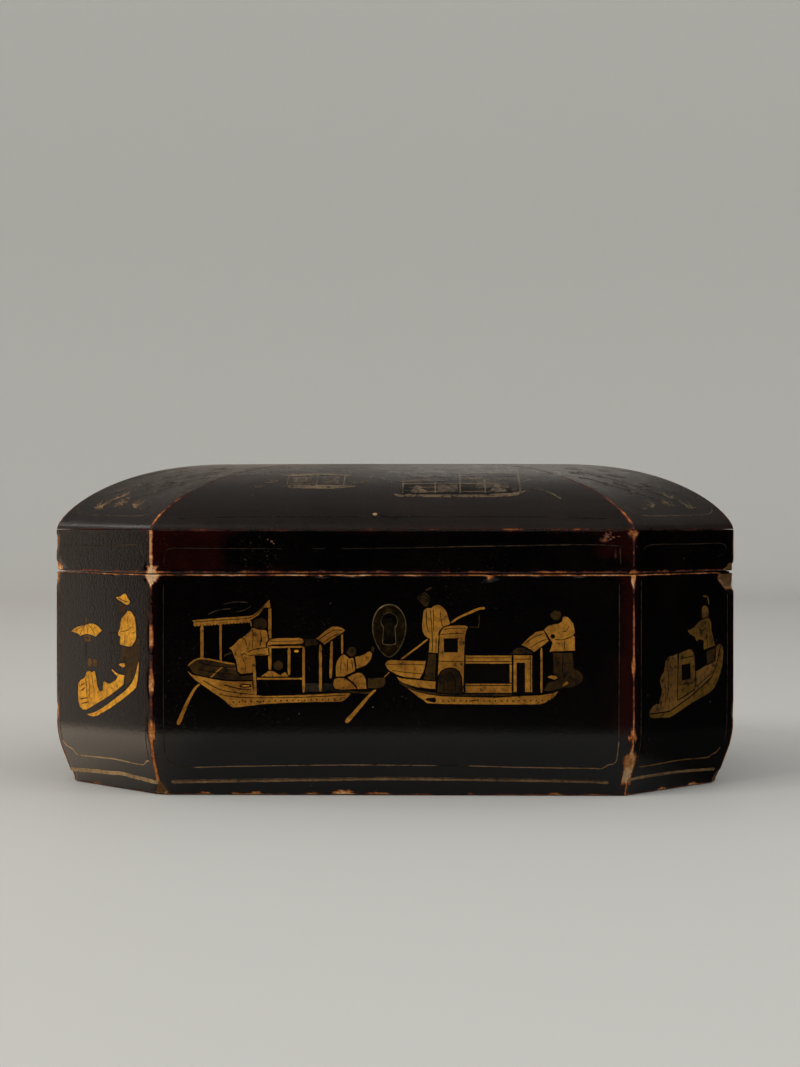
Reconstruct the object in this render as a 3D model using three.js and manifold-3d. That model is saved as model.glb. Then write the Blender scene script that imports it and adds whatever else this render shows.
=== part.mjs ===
// A lacquered wooden chest with canted corners, a foot that curves in, and a hinged lid with a ridged dome.
// Millimetres, +Z up. The origin is the centre of the footprint, on the surface that the chest stands on.
// The front, with the keyhole, faces -Y. The lid turns on two brass butt hinges along the back edge.
import * as THREE from "three";
import { mergeVertices } from "three/addons/utils/BufferGeometryUtils.js";
import Module from "manifold-3d";

const wasm = await Module();
wasm.setup();

// Carcass
const chestWidth = 280;
const chestDepth = 210;
const cornerCut = 45.5; // what each canted corner takes off the width and off the depth
const bodyHeight = 87;
const wallThickness = 11;
const footInset = 7; // how far the foot of a wall stands in from its upright face
const taperAngle = THREE.MathUtils.degToRad(20);
const curveRadius = 40; // turns the taper upright
const curveSteps = 6;
const glueGap = 0.2; // between glued boards
const toolOverrun = 1; // how far a cut runs on past the face that it opens

// Bottom board, held in a groove round the walls
const bottomRecess = 3;
const bottomThickness = 7;
const grooveDepth = 3;
const grooveClearance = 0.25;

// Lid
const lidGap = 0.4; // between the rims when the lid is shut
const rimHeight = 17;
const domeRise = 28.5;
const domeFullness = 2.41; // exponents of the dome's rounded profile
const domeShoulder = 1.46;
const frontRidgeHalf = 25.3; // the front and back corners' ridges run in to here on the centre line
const sideRidgeHalf = 66.4; // the side corners' ridges run in to here
const crownShare = 0.6; // share of the way in where the staves meet the crown board
const crownThickness = 9.5;
const crownCap = 0.98; // share of the way in where the crown ends in a narrow flat
const staveSteps = 10;
const crownSteps = 5;
const staveHollow = 2.2; // exponents of the staves' inner curve
const staveShoulder = 1.6;

// Butt hinges, with bevelled back edges that stop the lid
const hingeInset = 39.5; // from the back face's end to the middle of the nearer hinge
const hingeLength = 32;
const bevelDepth = 3.2; // the hinge axis lies this far in from the back face
const openAngle = THREE.MathUtils.degToRad(100);
const knuckleRadius = 2.3;
const knuckleCount = 5;
const knuckleGap = 0.3;
const hingePinRadius = 0.95;
const runningGap = 0.3; // round pins, knuckles and sliding pieces
const leafThickness = 1.2;
const leafReach = 6.4; // from the axis to the leaf's inner edge
const leafSeatGap = 0.2; // between a leaf and the wood under it
const leafScrewOffset = 10;
const leafScrewReach = 4.6;
const roundSides = 24;

// Screws
const screwHeadRadius = 1.5;
const screwHeadDepth = 1;
const screwHeadEdge = 0.2; // straight edge round the head, above its cone
const screwShankRadius = 0.8;
const screwLength = 8;
const screwPoint = 1.6;
const screwSlotWidth = 0.5;
const screwSlotDepth = 0.45;
const screwSides = 14;
const screwSink = 0.1; // how far a head lies under the face round it
const screwClearance = 0.2;

// Keyhole and its plate
const lockOffset = -1; // the lock's middle, across the front
const keyholeDrop = 18.1; // from the rim down to the middle of the keyhole's round part
const keyholeRadius = 3.1;
const keyholeNeck = 4.1; // width where the round part ends
const keyholeSkirt = 5; // width at the foot
const keyholeLength = 9.2; // from the round part's middle to the foot
const keyholeFootBulge = 0.6; // how far the foot's line bends down
const keyPlateWidth = 13.5;
const keyPlateUpper = 8.8; // height above its widest line
const keyPlateLower = 12.1; // height below it
const keyPlateRise = 2.1; // its widest line lies this far under the keyhole's round part
const keyPlateThickness = 1.2;
const keyPlateInlay = 0.8; // how deep it is let into the wall
const inlayClearance = 0.15;

// Lock, let into the top of the front wall from the inside
const lockPlateWidth = 58;
const lockPlateHeight = 34;
const lockPlateThickness = 1.4;
const lockPlateCorner = 3;
const lockDepth = 8.4; // selvedge and case, from the wall's inner face
const lockCaseWidth = 44;
const lockCaseHeight = 30.5;
const lockCaseWall = 1;
const lockSeatGap = 0.2; // between the lock's own fixed pieces
const lockRecessGap = 0.3; // between the lock and the wood
const lockScrewOffset = 25.5;
const lockScrewDrops = [7.5, 30.5];
const keyPinRadius = 1.1;
const keyPinReach = 7;
const rivetRadius = 0.8;
const boltTravel = 5;
const boltThickness = 1.6;
const boltMiddle = 4.5; // the bolt's mid plane, from the wall's inner face
const boltBarDrop = 9.5; // from the rim to the bar's top edge
const boltBarHeight = 3;
const boltBarTail = 4.6; // the bar goes on this far past the right riser
const talonWidth = 6;
const talonDepth = 1.8;
const talonSlope = 1;
const fingerDrop = 4.3;
const fingerHeight = 2.6;
const riserWidth = 2.6;
const boltRestOffset = 8;
const boltRestRadius = 0.8;
const springThickness = 0.5;
const springWidth = 2;
const springAnchorLength = 4.2;
const springRun = 4.2; // from the anchor to the foot
const springLipRun = 1.4; // the upturned lip past the foot
const springLipRise = 0.9;
const springTipGap = 1; // between the lip and the right riser

// Link plate on the lid, with two loops that the bolt's fingers enter
const linkPlateWidth = 52;
const linkPlateDepth = 7.2;
const linkPlateThickness = 1.3;
const linkPlateSetback = 1.2; // wood left between the link plate and the rim's inner face
const linkScrewOffset = 21;
const loopOffset = 11;
const loopThickness = 1.8;
const loopWidth = 4.6;
const loopEyeWidth = 2.2;
const loopDrop = 9.2; // from the link plate's underside to the loop's foot
const loopEyeTop = 4.2;
const loopEyeHeight = 3.6;
const loopTenonWidth = 3;
const loopTenonThickness = 1.2;

const halfWidth = chestWidth / 2;
const halfDepth = chestDepth / 2;
const lidBottom = bodyHeight + lidGap;
const hingeOffset = halfWidth - cornerCut - hingeInset;
const hingeAxisY = halfDepth - bevelDepth;
const hingeAxisZ = bodyHeight + lidGap / 2;
const innerFaceY = -(halfDepth - wallThickness); // of the front wall and the front rim

const lacquer = new THREE.MeshStandardMaterial({ color: 0x16100d, roughness: 0.25, metalness: 0 });
const innerLacquer = new THREE.MeshStandardMaterial({ color: 0x2a120c, roughness: 0.45, metalness: 0 });
const brass = new THREE.MeshStandardMaterial({ color: 0x9a8040, roughness: 0.4, metalness: 0.9 });
const steel = new THREE.MeshStandardMaterial({ color: 0x6d6a66, roughness: 0.45, metalness: 0.9 });

// A closed geometry as a solid, turned the right way out.
function solidFrom(geometry) {
  const bare = geometry.index ? geometry.toNonIndexed() : geometry.clone();
  for (const name of Object.keys(bare.attributes)) {
    if (name !== "position") bare.deleteAttribute(name);
  }
  const merged = mergeVertices(bare, 1e-4);
  const corners = [];
  const index = merged.index.array;
  for (let i = 0; i < index.length; i += 3) {
    const [a, b, c] = [index[i], index[i + 1], index[i + 2]];
    if (a !== b && b !== c && c !== a) corners.push([a, b, c]);
  }
  const make = (triangles) =>
    new wasm.Manifold(
      new wasm.Mesh({
        numProp: 3,
        vertProperties: new Float32Array(merged.attributes.position.array),
        triVerts: new Uint32Array(triangles.flat()),
      }),
    );
  const solid = make(corners);
  return solid.volume() > 0 ? solid : make(corners.map(([a, b, c]) => [a, c, b]));
}

function geometryFrom(solid) {
  const mesh = solid.getMesh();
  const geometry = new THREE.BufferGeometry();
  geometry.setAttribute("position", new THREE.BufferAttribute(mesh.vertProperties, 3));
  geometry.setIndex(new THREE.BufferAttribute(mesh.triVerts, 1));
  const flat = geometry.toNonIndexed();
  flat.computeVertexNormals();
  return flat;
}

function addPiece(group, name, solid, material) {
  const mesh = new THREE.Mesh(geometryFrom(solid), material);
  mesh.name = name;
  group.add(mesh);
  return mesh;
}

const cut = (solid, ...tools) => tools.reduce((rest, tool) => rest.subtract(tool), solid);
const join = (...solids) => solids.reduce((whole, solid) => whole.add(solid));
const moved = (solid, x, y, z) => solid.translate([x, y, z]);

// A box given by its lowest and highest corners.
function block([x0, y0, z0], [x1, y1, z1]) {
  const box = new THREE.BoxGeometry(x1 - x0, y1 - y0, z1 - z0);
  box.translate((x0 + x1) / 2, (y0 + y1) / 2, (z0 + z1) / 2);
  return solidFrom(box);
}

// A round bar along X, centred on the origin.
function barAlongX(radius, length) {
  const bar = new THREE.CylinderGeometry(radius, radius, length, roundSides);
  bar.rotateZ(Math.PI / 2);
  return solidFrom(bar);
}

// An outline drawn in X and Z, given depth from y0 towards the back.
function plateFacingFront(shape, y0, depth) {
  const plate = new THREE.ExtrudeGeometry(shape, { depth, bevelEnabled: false, curveSegments: roundSides });
  plate.rotateX(Math.PI / 2);
  plate.translate(0, y0 + depth, 0);
  return solidFrom(plate);
}

function polygonShape(points) {
  return new THREE.Shape(points.map(([x, y]) => new THREE.Vector2(x, y)));
}

// A solid between two end rings with as many points each. flat is the ends' outline in two dimensions.
function boardBetween(startRing, endRing, flat) {
  const count = startRing.length;
  const positions = [...startRing, ...endRing].flatMap((p) => [p.x, p.y, p.z]);
  const index = [];
  for (let i = 0; i < count; i++) {
    const next = (i + 1) % count;
    index.push(i, next, count + next, i, count + next, count + i);
  }
  const clockwise = THREE.ShapeUtils.isClockWise(flat);
  for (const [a, b, c] of THREE.ShapeUtils.triangulateShape(flat, [])) {
    const [first, last] = clockwise ? [a, c] : [c, a];
    index.push(first, b, last, count + last, count + b, count + first);
  }
  return solidFrom(meshOf(positions, index));
}

function meshOf(positions, index) {
  const geometry = new THREE.BufferGeometry();
  geometry.setAttribute("position", new THREE.Float32BufferAttribute(positions, 3));
  geometry.setIndex(index);
  return geometry;
}

// A solid through level rings of one point count, with flat convex ends.
function loftThrough(rings) {
  const count = rings[0].length;
  const positions = rings.flat().flatMap((p) => [p.x, p.y, p.z]);
  const index = [];
  for (let r = 0; r < rings.length - 1; r++) {
    for (let i = 0; i < count; i++) {
      const next = (i + 1) % count;
      const [a, b, c, d] = [r * count + i, r * count + next, (r + 1) * count + next, (r + 1) * count + i];
      index.push(a, b, c, a, c, d);
    }
  }
  const top = (rings.length - 1) * count;
  for (let i = 1; i < count - 1; i++) {
    index.push(0, i + 1, i, top, top + i, top + i + 1);
  }
  return solidFrom(meshOf(positions, index));
}

// The plan is an octagon. Its sides go round anticlockwise from the front, each a name and the way it faces.
const sideNames = ["front", "front_right", "right", "back_right", "back", "back_left", "left", "front_left"];
const sideCount = sideNames.length;

function sideAt(i) {
  const angle = -Math.PI / 2 + (i * Math.PI) / 4;
  const reach = [halfDepth, (halfWidth + halfDepth - cornerCut) / Math.SQRT2, halfWidth];
  const kind = [0, 1, 2, 1][i % 4];
  return { normal: new THREE.Vector2(Math.cos(angle), Math.sin(angle)), reach: reach[kind] };
}

// Where side i meets the next one, with both sides moved in by inset.
function cornerAt(i, inset) {
  const a = sideAt((i + sideCount) % sideCount);
  const b = sideAt((i + 1) % sideCount);
  const det = a.normal.cross(b.normal);
  const ra = a.reach - inset;
  const rb = b.reach - inset;
  return new THREE.Vector2(
    (ra * b.normal.y - rb * a.normal.y) / det,
    (rb * a.normal.x - ra * b.normal.x) / det,
  );
}

// One board of side i, mitred at both ends. section lists inset and height round the board.
function mitredBoard(i, section) {
  const along = new THREE.Vector2(-sideAt(i).normal.y, sideAt(i).normal.x).multiplyScalar(glueGap / 2);
  const ring = (corner, shift) =>
    section.map(({ x: inset, y: height }) => {
      const at = cornerAt(corner, inset).add(shift);
      return new THREE.Vector3(at.x, at.y, height);
    });
  return boardBetween(ring(i - 1, along), ring(i, along.clone().negate()), section);
}

// The outer face of a body wall from the foot up: a straight taper that an arc turns upright.
function wallFace() {
  const arcInset = curveRadius * (1 - Math.cos(taperAngle));
  const taperRise = (footInset - arcInset) / Math.tan(taperAngle);
  const arcTop = taperRise + curveRadius * Math.sin(taperAngle);
  const points = [new THREE.Vector2(footInset, 0)];
  for (let k = 0; k <= curveSteps; k++) {
    const angle = taperAngle * (1 - k / curveSteps);
    points.push(
      new THREE.Vector2(curveRadius * (1 - Math.cos(angle)), arcTop - curveRadius * Math.sin(angle)),
    );
  }
  points.push(new THREE.Vector2(0, bodyHeight));
  return points;
}

function wallSection() {
  const grooveFloor = wallThickness - grooveDepth;
  const grooveLow = bottomRecess - grooveClearance;
  const grooveHigh = bottomRecess + bottomThickness + grooveClearance;
  return [
    ...wallFace(),
    new THREE.Vector2(wallThickness, bodyHeight),
    new THREE.Vector2(wallThickness, grooveHigh),
    new THREE.Vector2(grooveFloor, grooveHigh),
    new THREE.Vector2(grooveFloor, grooveLow),
    new THREE.Vector2(wallThickness, grooveLow),
    new THREE.Vector2(wallThickness, 0),
  ];
}

function rimSection() {
  return [
    new THREE.Vector2(0, 0),
    new THREE.Vector2(0, rimHeight),
    new THREE.Vector2(wallThickness, rimHeight),
    new THREE.Vector2(wallThickness, 0),
  ];
}

function octagonRing(inset, height) {
  return sideNames.map((_, i) => {
    const at = cornerAt(i, inset);
    return new THREE.Vector3(at.x, at.y, height);
  });
}

function bottomBoard() {
  const inset = wallThickness - grooveDepth + grooveClearance;
  return loftThrough([
    octagonRing(inset, bottomRecess),
    octagonRing(inset, bottomRecess + bottomThickness),
  ]);
}

// The wedges that bevel the back edges of body and lid. They start at the hinge axis and stop the open lid.
function bevelWedge(side) {
  const reach = bevelDepth + toolOverrun;
  const drop = reach * Math.tan(openAngle / 2);
  const face = side * (lidGap / 2);
  const outline = [
    new THREE.Vector2(0, face),
    new THREE.Vector2(reach, face + side * drop),
    new THREE.Vector2(reach, 0),
    new THREE.Vector2(0, 0),
  ];
  const ring = (x) => outline.map(({ x: y, y: z }) => new THREE.Vector3(x, hingeAxisY + y, hingeAxisZ + z));
  return boardBetween(ring(-halfWidth), ring(halfWidth), outline);
}

// How far up the dome the outer surface is, a share of the way in from the rim to the ridge.
const domeShare = (inward) => (1 - (1 - inward) ** domeFullness) ** (1 / domeShoulder);
const domeBase = rimHeight + glueGap;
const domeTop = rimHeight + domeRise;

// A point of the ridge line at corner i, a share of the way in.
function hipPoint(i, inward) {
  const corner = cornerAt(i, 0);
  const place = (i + sideCount) % sideCount;
  const half = place % 4 === 0 || place % 4 === 3 ? frontRidgeHalf : sideRidgeHalf;
  const end = new THREE.Vector2(Math.sign(corner.x) * half, 0);
  const at = corner.lerp(end, inward);
  return new THREE.Vector3(at.x, at.y, domeBase + (domeTop - domeBase) * domeShare(inward));
}

const crownEdgeHeight = hipPoint(0, crownShare).z;
const crownUnderside = domeTop - crownThickness;

// How far in, a share of the way to the ridge, the staves' inner foot lies at corner i. It is where the
// canted corner's inner face crosses the ridge line, so the longer sides leave a narrow ledge on the rim.
function innerFootShare(i) {
  const canted = sideAt((i + sideCount) % 2 ? i : i + 1).normal;
  const run = hipPoint(i, 1).sub(hipPoint(i, 0));
  return wallThickness / Math.abs(run.x * canted.x + run.y * canted.y);
}

// The end of the staves that meet at corner i, in the upright plane of the ridge line.
function staveEnd(i) {
  const points = [];
  for (let k = 0; k <= staveSteps; k++) {
    points.push(hipPoint(i, crownShare * (k / staveSteps) ** 2));
  }
  const foot = innerFootShare(i);
  for (let k = staveSteps; k >= 0; k--) {
    const share = (k / staveSteps) ** 2;
    const rise = (1 - (1 - share) ** staveHollow) ** (1 / staveShoulder);
    const at = hipPoint(i, foot + (crownShare - foot) * share);
    points.push(at.setZ(domeBase + (crownUnderside - domeBase) * rise));
  }
  return points;
}

// The curved stave of side i, between the rim and the crown board.
function domeStave(i) {
  const along = new THREE.Vector3(-sideAt(i).normal.y, sideAt(i).normal.x, 0).multiplyScalar(glueGap / 2);
  const start = staveEnd(i - 1);
  const end = staveEnd(i);
  const foot = start[0];
  const flat = start.map((p) => new THREE.Vector2(Math.hypot(p.x - foot.x, p.y - foot.y), p.z));
  return boardBetween(
    start.map((p) => p.clone().add(along)),
    end.map((p) => p.clone().sub(along)),
    flat,
  );
}

function crownBoard() {
  const edge = crownShare + glueGap / halfDepth;
  const ringAt = (inward, height) =>
    sideNames.map((_, i) => {
      const p = hipPoint(i, inward);
      return height === undefined ? p : new THREE.Vector3(p.x, p.y, height);
    });
  const rings = [ringAt(edge, crownUnderside)];
  for (let k = 0; k <= crownSteps; k++) {
    rings.push(ringAt(edge + ((crownCap - edge) * k) / crownSteps));
  }
  return loftThrough(rings);
}

// A countersunk wood screw, its head's face at the origin and its point down -Y. grown makes the hole for it.
function screw(grown = 0) {
  const profile = [
    [0, grown],
    [screwHeadRadius + grown, grown],
    [screwHeadRadius + grown, -screwHeadEdge],
    [screwShankRadius + grown, -screwHeadDepth - grown],
    [screwShankRadius + grown, -screwLength + screwPoint - grown],
    [0, -screwLength - grown],
  ];
  const body = solidFrom(
    new THREE.LatheGeometry(
      profile.map(([r, y]) => new THREE.Vector2(r, y)),
      screwSides,
    ),
  );
  if (grown) return body;
  const slotEnd = screwHeadRadius + toolOverrun;
  const half = screwSlotWidth / 2;
  return cut(body, block([-slotEnd, -screwSlotDepth, -half], [slotEnd, toolOverrun, half]));
}

const headUp = [90, 0, 0]; // turns a screw's point from -Y to -Z
const headDown = [-90, 0, 0];

// Hinge leaf about its own axis: side -1 is let into the body and 1 into the lid.
function hingeLeaf(side) {
  const pitch = (hingeLength + knuckleGap) / knuckleCount;
  const knuckleLength = pitch - knuckleGap;
  const near = side * (lidGap / 2);
  const far = side * (lidGap / 2 + leafThickness);
  let leaf = block(
    [-hingeLength / 2, -leafReach, Math.min(near, far)],
    [hingeLength / 2, 0, Math.max(near, far)],
  );
  for (let k = 0; k < knuckleCount; k++) {
    const middle = -hingeLength / 2 + knuckleLength / 2 + k * pitch;
    const own = (k % 2 === 0) === (side < 0);
    leaf = own
      ? leaf.add(moved(barAlongX(knuckleRadius, knuckleLength), middle, 0, 0))
      : leaf.subtract(
          moved(barAlongX(knuckleRadius + runningGap, knuckleLength + 2 * knuckleGap), middle, 0, 0),
        );
  }
  leaf = leaf.subtract(barAlongX(hingePinRadius + runningGap, hingeLength + 2 * toolOverrun));
  return cut(leaf, ...leafScrewHoles(side));
}

const leafScrewPlaces = (side) =>
  [-1, 1].map((end) => [
    end * leafScrewOffset,
    -leafScrewReach,
    side * (lidGap / 2 + screwSink),
  ]);

function leafScrewHoles(side) {
  const hole = screw(screwClearance).rotate(side < 0 ? headUp : headDown);
  return leafScrewPlaces(side).map((place) => hole.translate(place));
}

// What one hinge takes out of the wood, about its own axis.
function hingePocket(side) {
  const half = hingeLength / 2 + runningGap;
  const heights = [side * (lidGap / 2 + leafThickness + leafSeatGap), -side * toolOverrun];
  const pocket = block(
    [-half, -leafReach - runningGap, Math.min(...heights)],
    [half, 0, Math.max(...heights)],
  );
  const groove = barAlongX(knuckleRadius + runningGap, hingeLength + 2 * runningGap);
  return join(pocket, groove, ...leafScrewHoles(side));
}

const hingePlaces = { left: -hingeOffset, right: hingeOffset };
const hingeCuts = (side) =>
  Object.values(hingePlaces).map((x) => moved(hingePocket(side), x, hingeAxisY, hingeAxisZ));

// The keyhole: a round part over a skirt that widens to its foot. Drawn about the round part's middle.
function keyholeShape(grown = 0) {
  const radius = keyholeRadius + grown;
  const neck = keyholeNeck / 2 + grown;
  const skirt = keyholeSkirt / 2 + grown;
  const foot = -keyholeLength - grown;
  const start = Math.asin(neck / radius);
  const shape = new THREE.Shape();
  shape.absarc(0, 0, radius, -Math.PI / 2 + start, (3 * Math.PI) / 2 - start, false);
  shape.lineTo(-skirt, foot + keyholeFootBulge);
  shape.quadraticCurveTo(0, foot - keyholeFootBulge, skirt, foot + keyholeFootBulge);
  return shape;
}

// The keyhole plate's egg-shaped outline, drawn about the middle of its widest line.
function keyPlateShape(grown = 0) {
  const half = keyPlateWidth / 2 + grown;
  const up = keyPlateUpper + grown;
  const down = keyPlateLower + grown;
  const shape = new THREE.Shape();
  shape.moveTo(half, 0);
  shape.bezierCurveTo(half, up * 0.56, half * 0.56, up, 0, up);
  shape.bezierCurveTo(-half * 0.56, up, -half, up * 0.56, -half, 0);
  shape.bezierCurveTo(-half, -down * 0.48, -half * 0.42, -down, 0, -down);
  shape.bezierCurveTo(half * 0.42, -down, half, -down * 0.48, half, 0);
  return shape;
}

const keyholeZ = bodyHeight - keyholeDrop;
const keyPlateZ = keyholeZ - keyPlateRise;

function keyholeTool(grown, y0, depth) {
  return moved(plateFacingFront(keyholeShape(grown), y0, depth), 0, 0, keyholeZ);
}

function keyPlate() {
  const face = -halfDepth - (keyPlateThickness - keyPlateInlay);
  const plate = moved(plateFacingFront(keyPlateShape(), face, keyPlateThickness), 0, 0, keyPlateZ);
  return cut(plate, keyholeTool(0, face - toolOverrun, keyPlateThickness + 2 * toolOverrun));
}

// What the lock and the keyhole plate take out of the front wall. The lock's middle is at x = 0.
function lockRecess() {
  const recess = (width, depth, height) => {
    const half = width / 2 + lockRecessGap;
    return block(
      [-half, innerFaceY - depth - lockRecessGap, bodyHeight - height - lockRecessGap],
      [half, innerFaceY + toolOverrun, bodyHeight + toolOverrun],
    );
  };
  const plate = recess(lockPlateWidth, lockPlateThickness, lockPlateHeight);
  const selvedge = recess(lockPlateWidth, lockDepth, lockPlateThickness);
  const mortise = recess(lockCaseWidth, lockDepth, lockCaseHeight);
  const inlayDepth = keyPlateInlay + inlayClearance + toolOverrun;
  const inlayShape = keyPlateShape(inlayClearance);
  const inlay = moved(plateFacingFront(inlayShape, -halfDepth - toolOverrun, inlayDepth), 0, 0, keyPlateZ);
  const keyhole = keyholeTool(0, -halfDepth - toolOverrun, wallThickness);
  const screws = lockScrewPlaces().map(([x, y, z]) =>
    screw(screwClearance).translate([x, innerFaceY + y, bodyHeight + z]),
  );
  return join(plate, selvedge, mortise, inlay, keyhole, ...screws);
}

// The lock's own frame: x = 0 at its middle, y = 0 at the wall's inner face, z = 0 at the body's rim.
const lockScrewPlaces = () =>
  lockScrewDrops.flatMap((drop) => [-1, 1].map((end) => [end * lockScrewOffset, -screwSink, -drop]));

// A pin riveted through the lock plate, along Y.
function rivetedPin(radius, reach, grown = 0) {
  const profile = [
    [0, grown],
    [rivetRadius + grown, grown],
    [rivetRadius + grown, -lockPlateThickness - lockSeatGap],
    [radius, -lockPlateThickness - lockSeatGap],
    [radius, -reach],
    [0, -reach],
  ];
  return solidFrom(
    new THREE.LatheGeometry(
      profile.map(([r, y]) => new THREE.Vector2(r, y)),
      roundSides,
    ),
  );
}

const keyPinPlace = [0, 0, -keyholeDrop];
const boltRestZ = -boltBarDrop - boltBarHeight - runningGap - boltRestRadius;
const boltRestPlaces = { left: [-boltRestOffset, 0, boltRestZ], right: [boltRestOffset, 0, boltRestZ] };

function lockPlate() {
  const half = lockPlateWidth / 2;
  const foot = -lockPlateHeight;
  const corner = lockPlateCorner;
  const outline = new THREE.Shape();
  outline.moveTo(-half, 0);
  outline.lineTo(-half, foot + corner);
  outline.absarc(-half + corner, foot + corner, corner, Math.PI, 1.5 * Math.PI, false);
  outline.absarc(half - corner, foot + corner, corner, 1.5 * Math.PI, 2 * Math.PI, false);
  outline.lineTo(half, 0);
  const backPlate = plateFacingFront(outline, -lockPlateThickness, lockPlateThickness);
  const selvedge = block([-half, -lockDepth, -lockPlateThickness], [half, 0, 0]);
  const slotHalfX = loopThickness / 2 + runningGap;
  const slotHalfY = loopWidth / 2 + 2 * runningGap;
  const slots = loopPlaces.map((x) =>
    block(
      [x - slotHalfX, -boltMiddle - slotHalfY, -lockPlateThickness - toolOverrun],
      [x + slotHalfX, -boltMiddle + slotHalfY, toolOverrun],
    ),
  );
  const screws = lockScrewPlaces().map((place) => screw(screwClearance).translate(place));
  const rivetDepth = lockPlateThickness + toolOverrun;
  const rivetHole = rivetedPin(rivetRadius + screwClearance, rivetDepth, screwClearance);
  const rivets = [keyPinPlace, ...Object.values(boltRestPlaces)].map((place) => rivetHole.translate(place));
  return cut(join(backPlate, selvedge), ...slots, ...screws, ...rivets);
}

// A tray that covers the works, open at the top under the selvedge and at the back under the plate.
function lockCase() {
  const half = lockCaseWidth / 2;
  const back = -lockPlateThickness - lockSeatGap;
  const tray = block([-half, -lockDepth, -lockCaseHeight], [half, back, back]);
  const inside = block(
    [-half + lockCaseWall, -lockDepth + lockCaseWall, -lockCaseHeight + lockCaseWall],
    [half - lockCaseWall, toolOverrun, toolOverrun],
  );
  const keyholeDepth = lockCaseWall + 2 * toolOverrun;
  const keyholeCut = plateFacingFront(keyholeShape(lockSeatGap), -lockDepth - toolOverrun, keyholeDepth);
  const keyhole = moved(keyholeCut, 0, 0, -keyholeDrop);
  return cut(tray, inside, keyhole);
}

// A finger's tip stops just short of its loop, and its riser stands one travel behind the tip.
const loopPlaces = [-loopOffset, loopOffset];
const fingerTip = (loop) => loop - loopThickness / 2 - runningGap;
const riserEnd = (loop) => fingerTip(loop) - boltTravel;
const riserStart = (loop) => riserEnd(loop) - riserWidth;

// The bolt: a bar with two risers, each with a finger that slides into a loop. The key pushes in the talon.
function lockBolt() {
  const barTop = -boltBarDrop;
  const barFoot = barTop - boltBarHeight;
  const fingerTop = -fingerDrop;
  const fingerFoot = fingerTop - fingerHeight;
  const talon = talonWidth / 2;
  const [leftLoop, rightLoop] = loopPlaces;
  const hook = (loop) => [
    [fingerTip(loop), fingerTop],
    [fingerTip(loop), fingerFoot],
    [riserEnd(loop), fingerFoot],
    [riserEnd(loop), barTop],
  ];
  const outline = [
    [riserStart(leftLoop), barFoot],
    [riserStart(leftLoop), fingerTop],
    ...hook(leftLoop),
    [riserStart(rightLoop), barTop],
    [riserStart(rightLoop), fingerTop],
    ...hook(rightLoop),
    [riserEnd(rightLoop) + boltBarTail, barTop],
    [riserEnd(rightLoop) + boltBarTail, barFoot],
    [talon, barFoot],
    [talon - talonSlope, barFoot + talonDepth],
    [talonSlope - talon, barFoot + talonDepth],
    [-talon, barFoot],
  ];
  return plateFacingFront(polygonShape(outline), -boltMiddle - boltThickness / 2, boltThickness);
}

// A leaf spring fixed under the selvedge, curving down until its foot bears on the bolt's bar.
function boltSpring() {
  const anchorZ = -lockPlateThickness - lockSeatGap - springThickness / 2;
  const footZ = -boltBarDrop + runningGap + springThickness / 2;
  const tip = new THREE.Vector2(riserStart(loopOffset) - springTipGap, footZ + springLipRise);
  const foot = new THREE.Vector2(tip.x - springLipRun, footZ);
  const bend = new THREE.Vector2(foot.x - springRun, anchorZ);
  const start = new THREE.Vector2(bend.x - springAnchorLength, anchorZ);
  const lip = new THREE.Vector2(foot.x + springLipRun * 0.75, footZ);
  const upper = new THREE.Vector2(bend.x + springRun * 0.9, anchorZ);
  const lower = new THREE.Vector2(foot.x - springRun * 0.75, footZ);
  const line = [
    start,
    ...new THREE.CubicBezierCurve(bend, upper, lower, foot).getPoints(10),
    ...new THREE.QuadraticBezierCurve(foot, lip, tip).getPoints(5).slice(1),
  ];
  const side = (sign) =>
    line.map((p, k) => {
      const ahead = line[Math.min(k + 1, line.length - 1)];
      const behind = line[Math.max(k - 1, 0)];
      const run = ahead.clone().sub(behind).setLength((sign * springThickness) / 2);
      return [p.x - run.y, p.y + run.x];
    });
  const outline = polygonShape([...side(1), ...side(-1).reverse()]);
  return plateFacingFront(outline, -boltMiddle - springWidth / 2, springWidth);
}

// The link plate's frame: x = 0 at the lock's middle, y = 0 at the rim's inner face, z = 0 at its underside.
const linkScrewPlaces = () => [-1, 1].map((end) => [end * linkScrewOffset, -boltMiddle, screwSink]);

function linkPlate() {
  const half = linkPlateWidth / 2;
  const back = -linkPlateSetback;
  const plate = block([-half, back - linkPlateDepth, 0], [half, back, linkPlateThickness]);
  const halfX = loopTenonThickness / 2 + lockSeatGap;
  const halfY = loopTenonWidth / 2 + lockSeatGap;
  const top = linkPlateThickness + toolOverrun;
  const mortises = loopPlaces.map((x) =>
    block([x - halfX, -boltMiddle - halfY, -toolOverrun], [x + halfX, -boltMiddle + halfY, top]),
  );
  const holes = linkScrewPlaces().map((place) => screw(screwClearance).rotate(headDown).translate(place));
  return cut(plate, ...mortises, ...holes);
}

function linkRecess() {
  const half = linkPlateWidth / 2 + lockRecessGap;
  const recess = block(
    [-half, -linkPlateSetback - linkPlateDepth - lockRecessGap, -toolOverrun],
    [half, -linkPlateSetback + lockRecessGap, linkPlateThickness + lockRecessGap],
  );
  const holes = linkScrewPlaces().map((place) => screw(screwClearance).rotate(headDown).translate(place));
  return moved(join(recess, ...holes), lockOffset, innerFaceY, 0);
}

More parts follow.
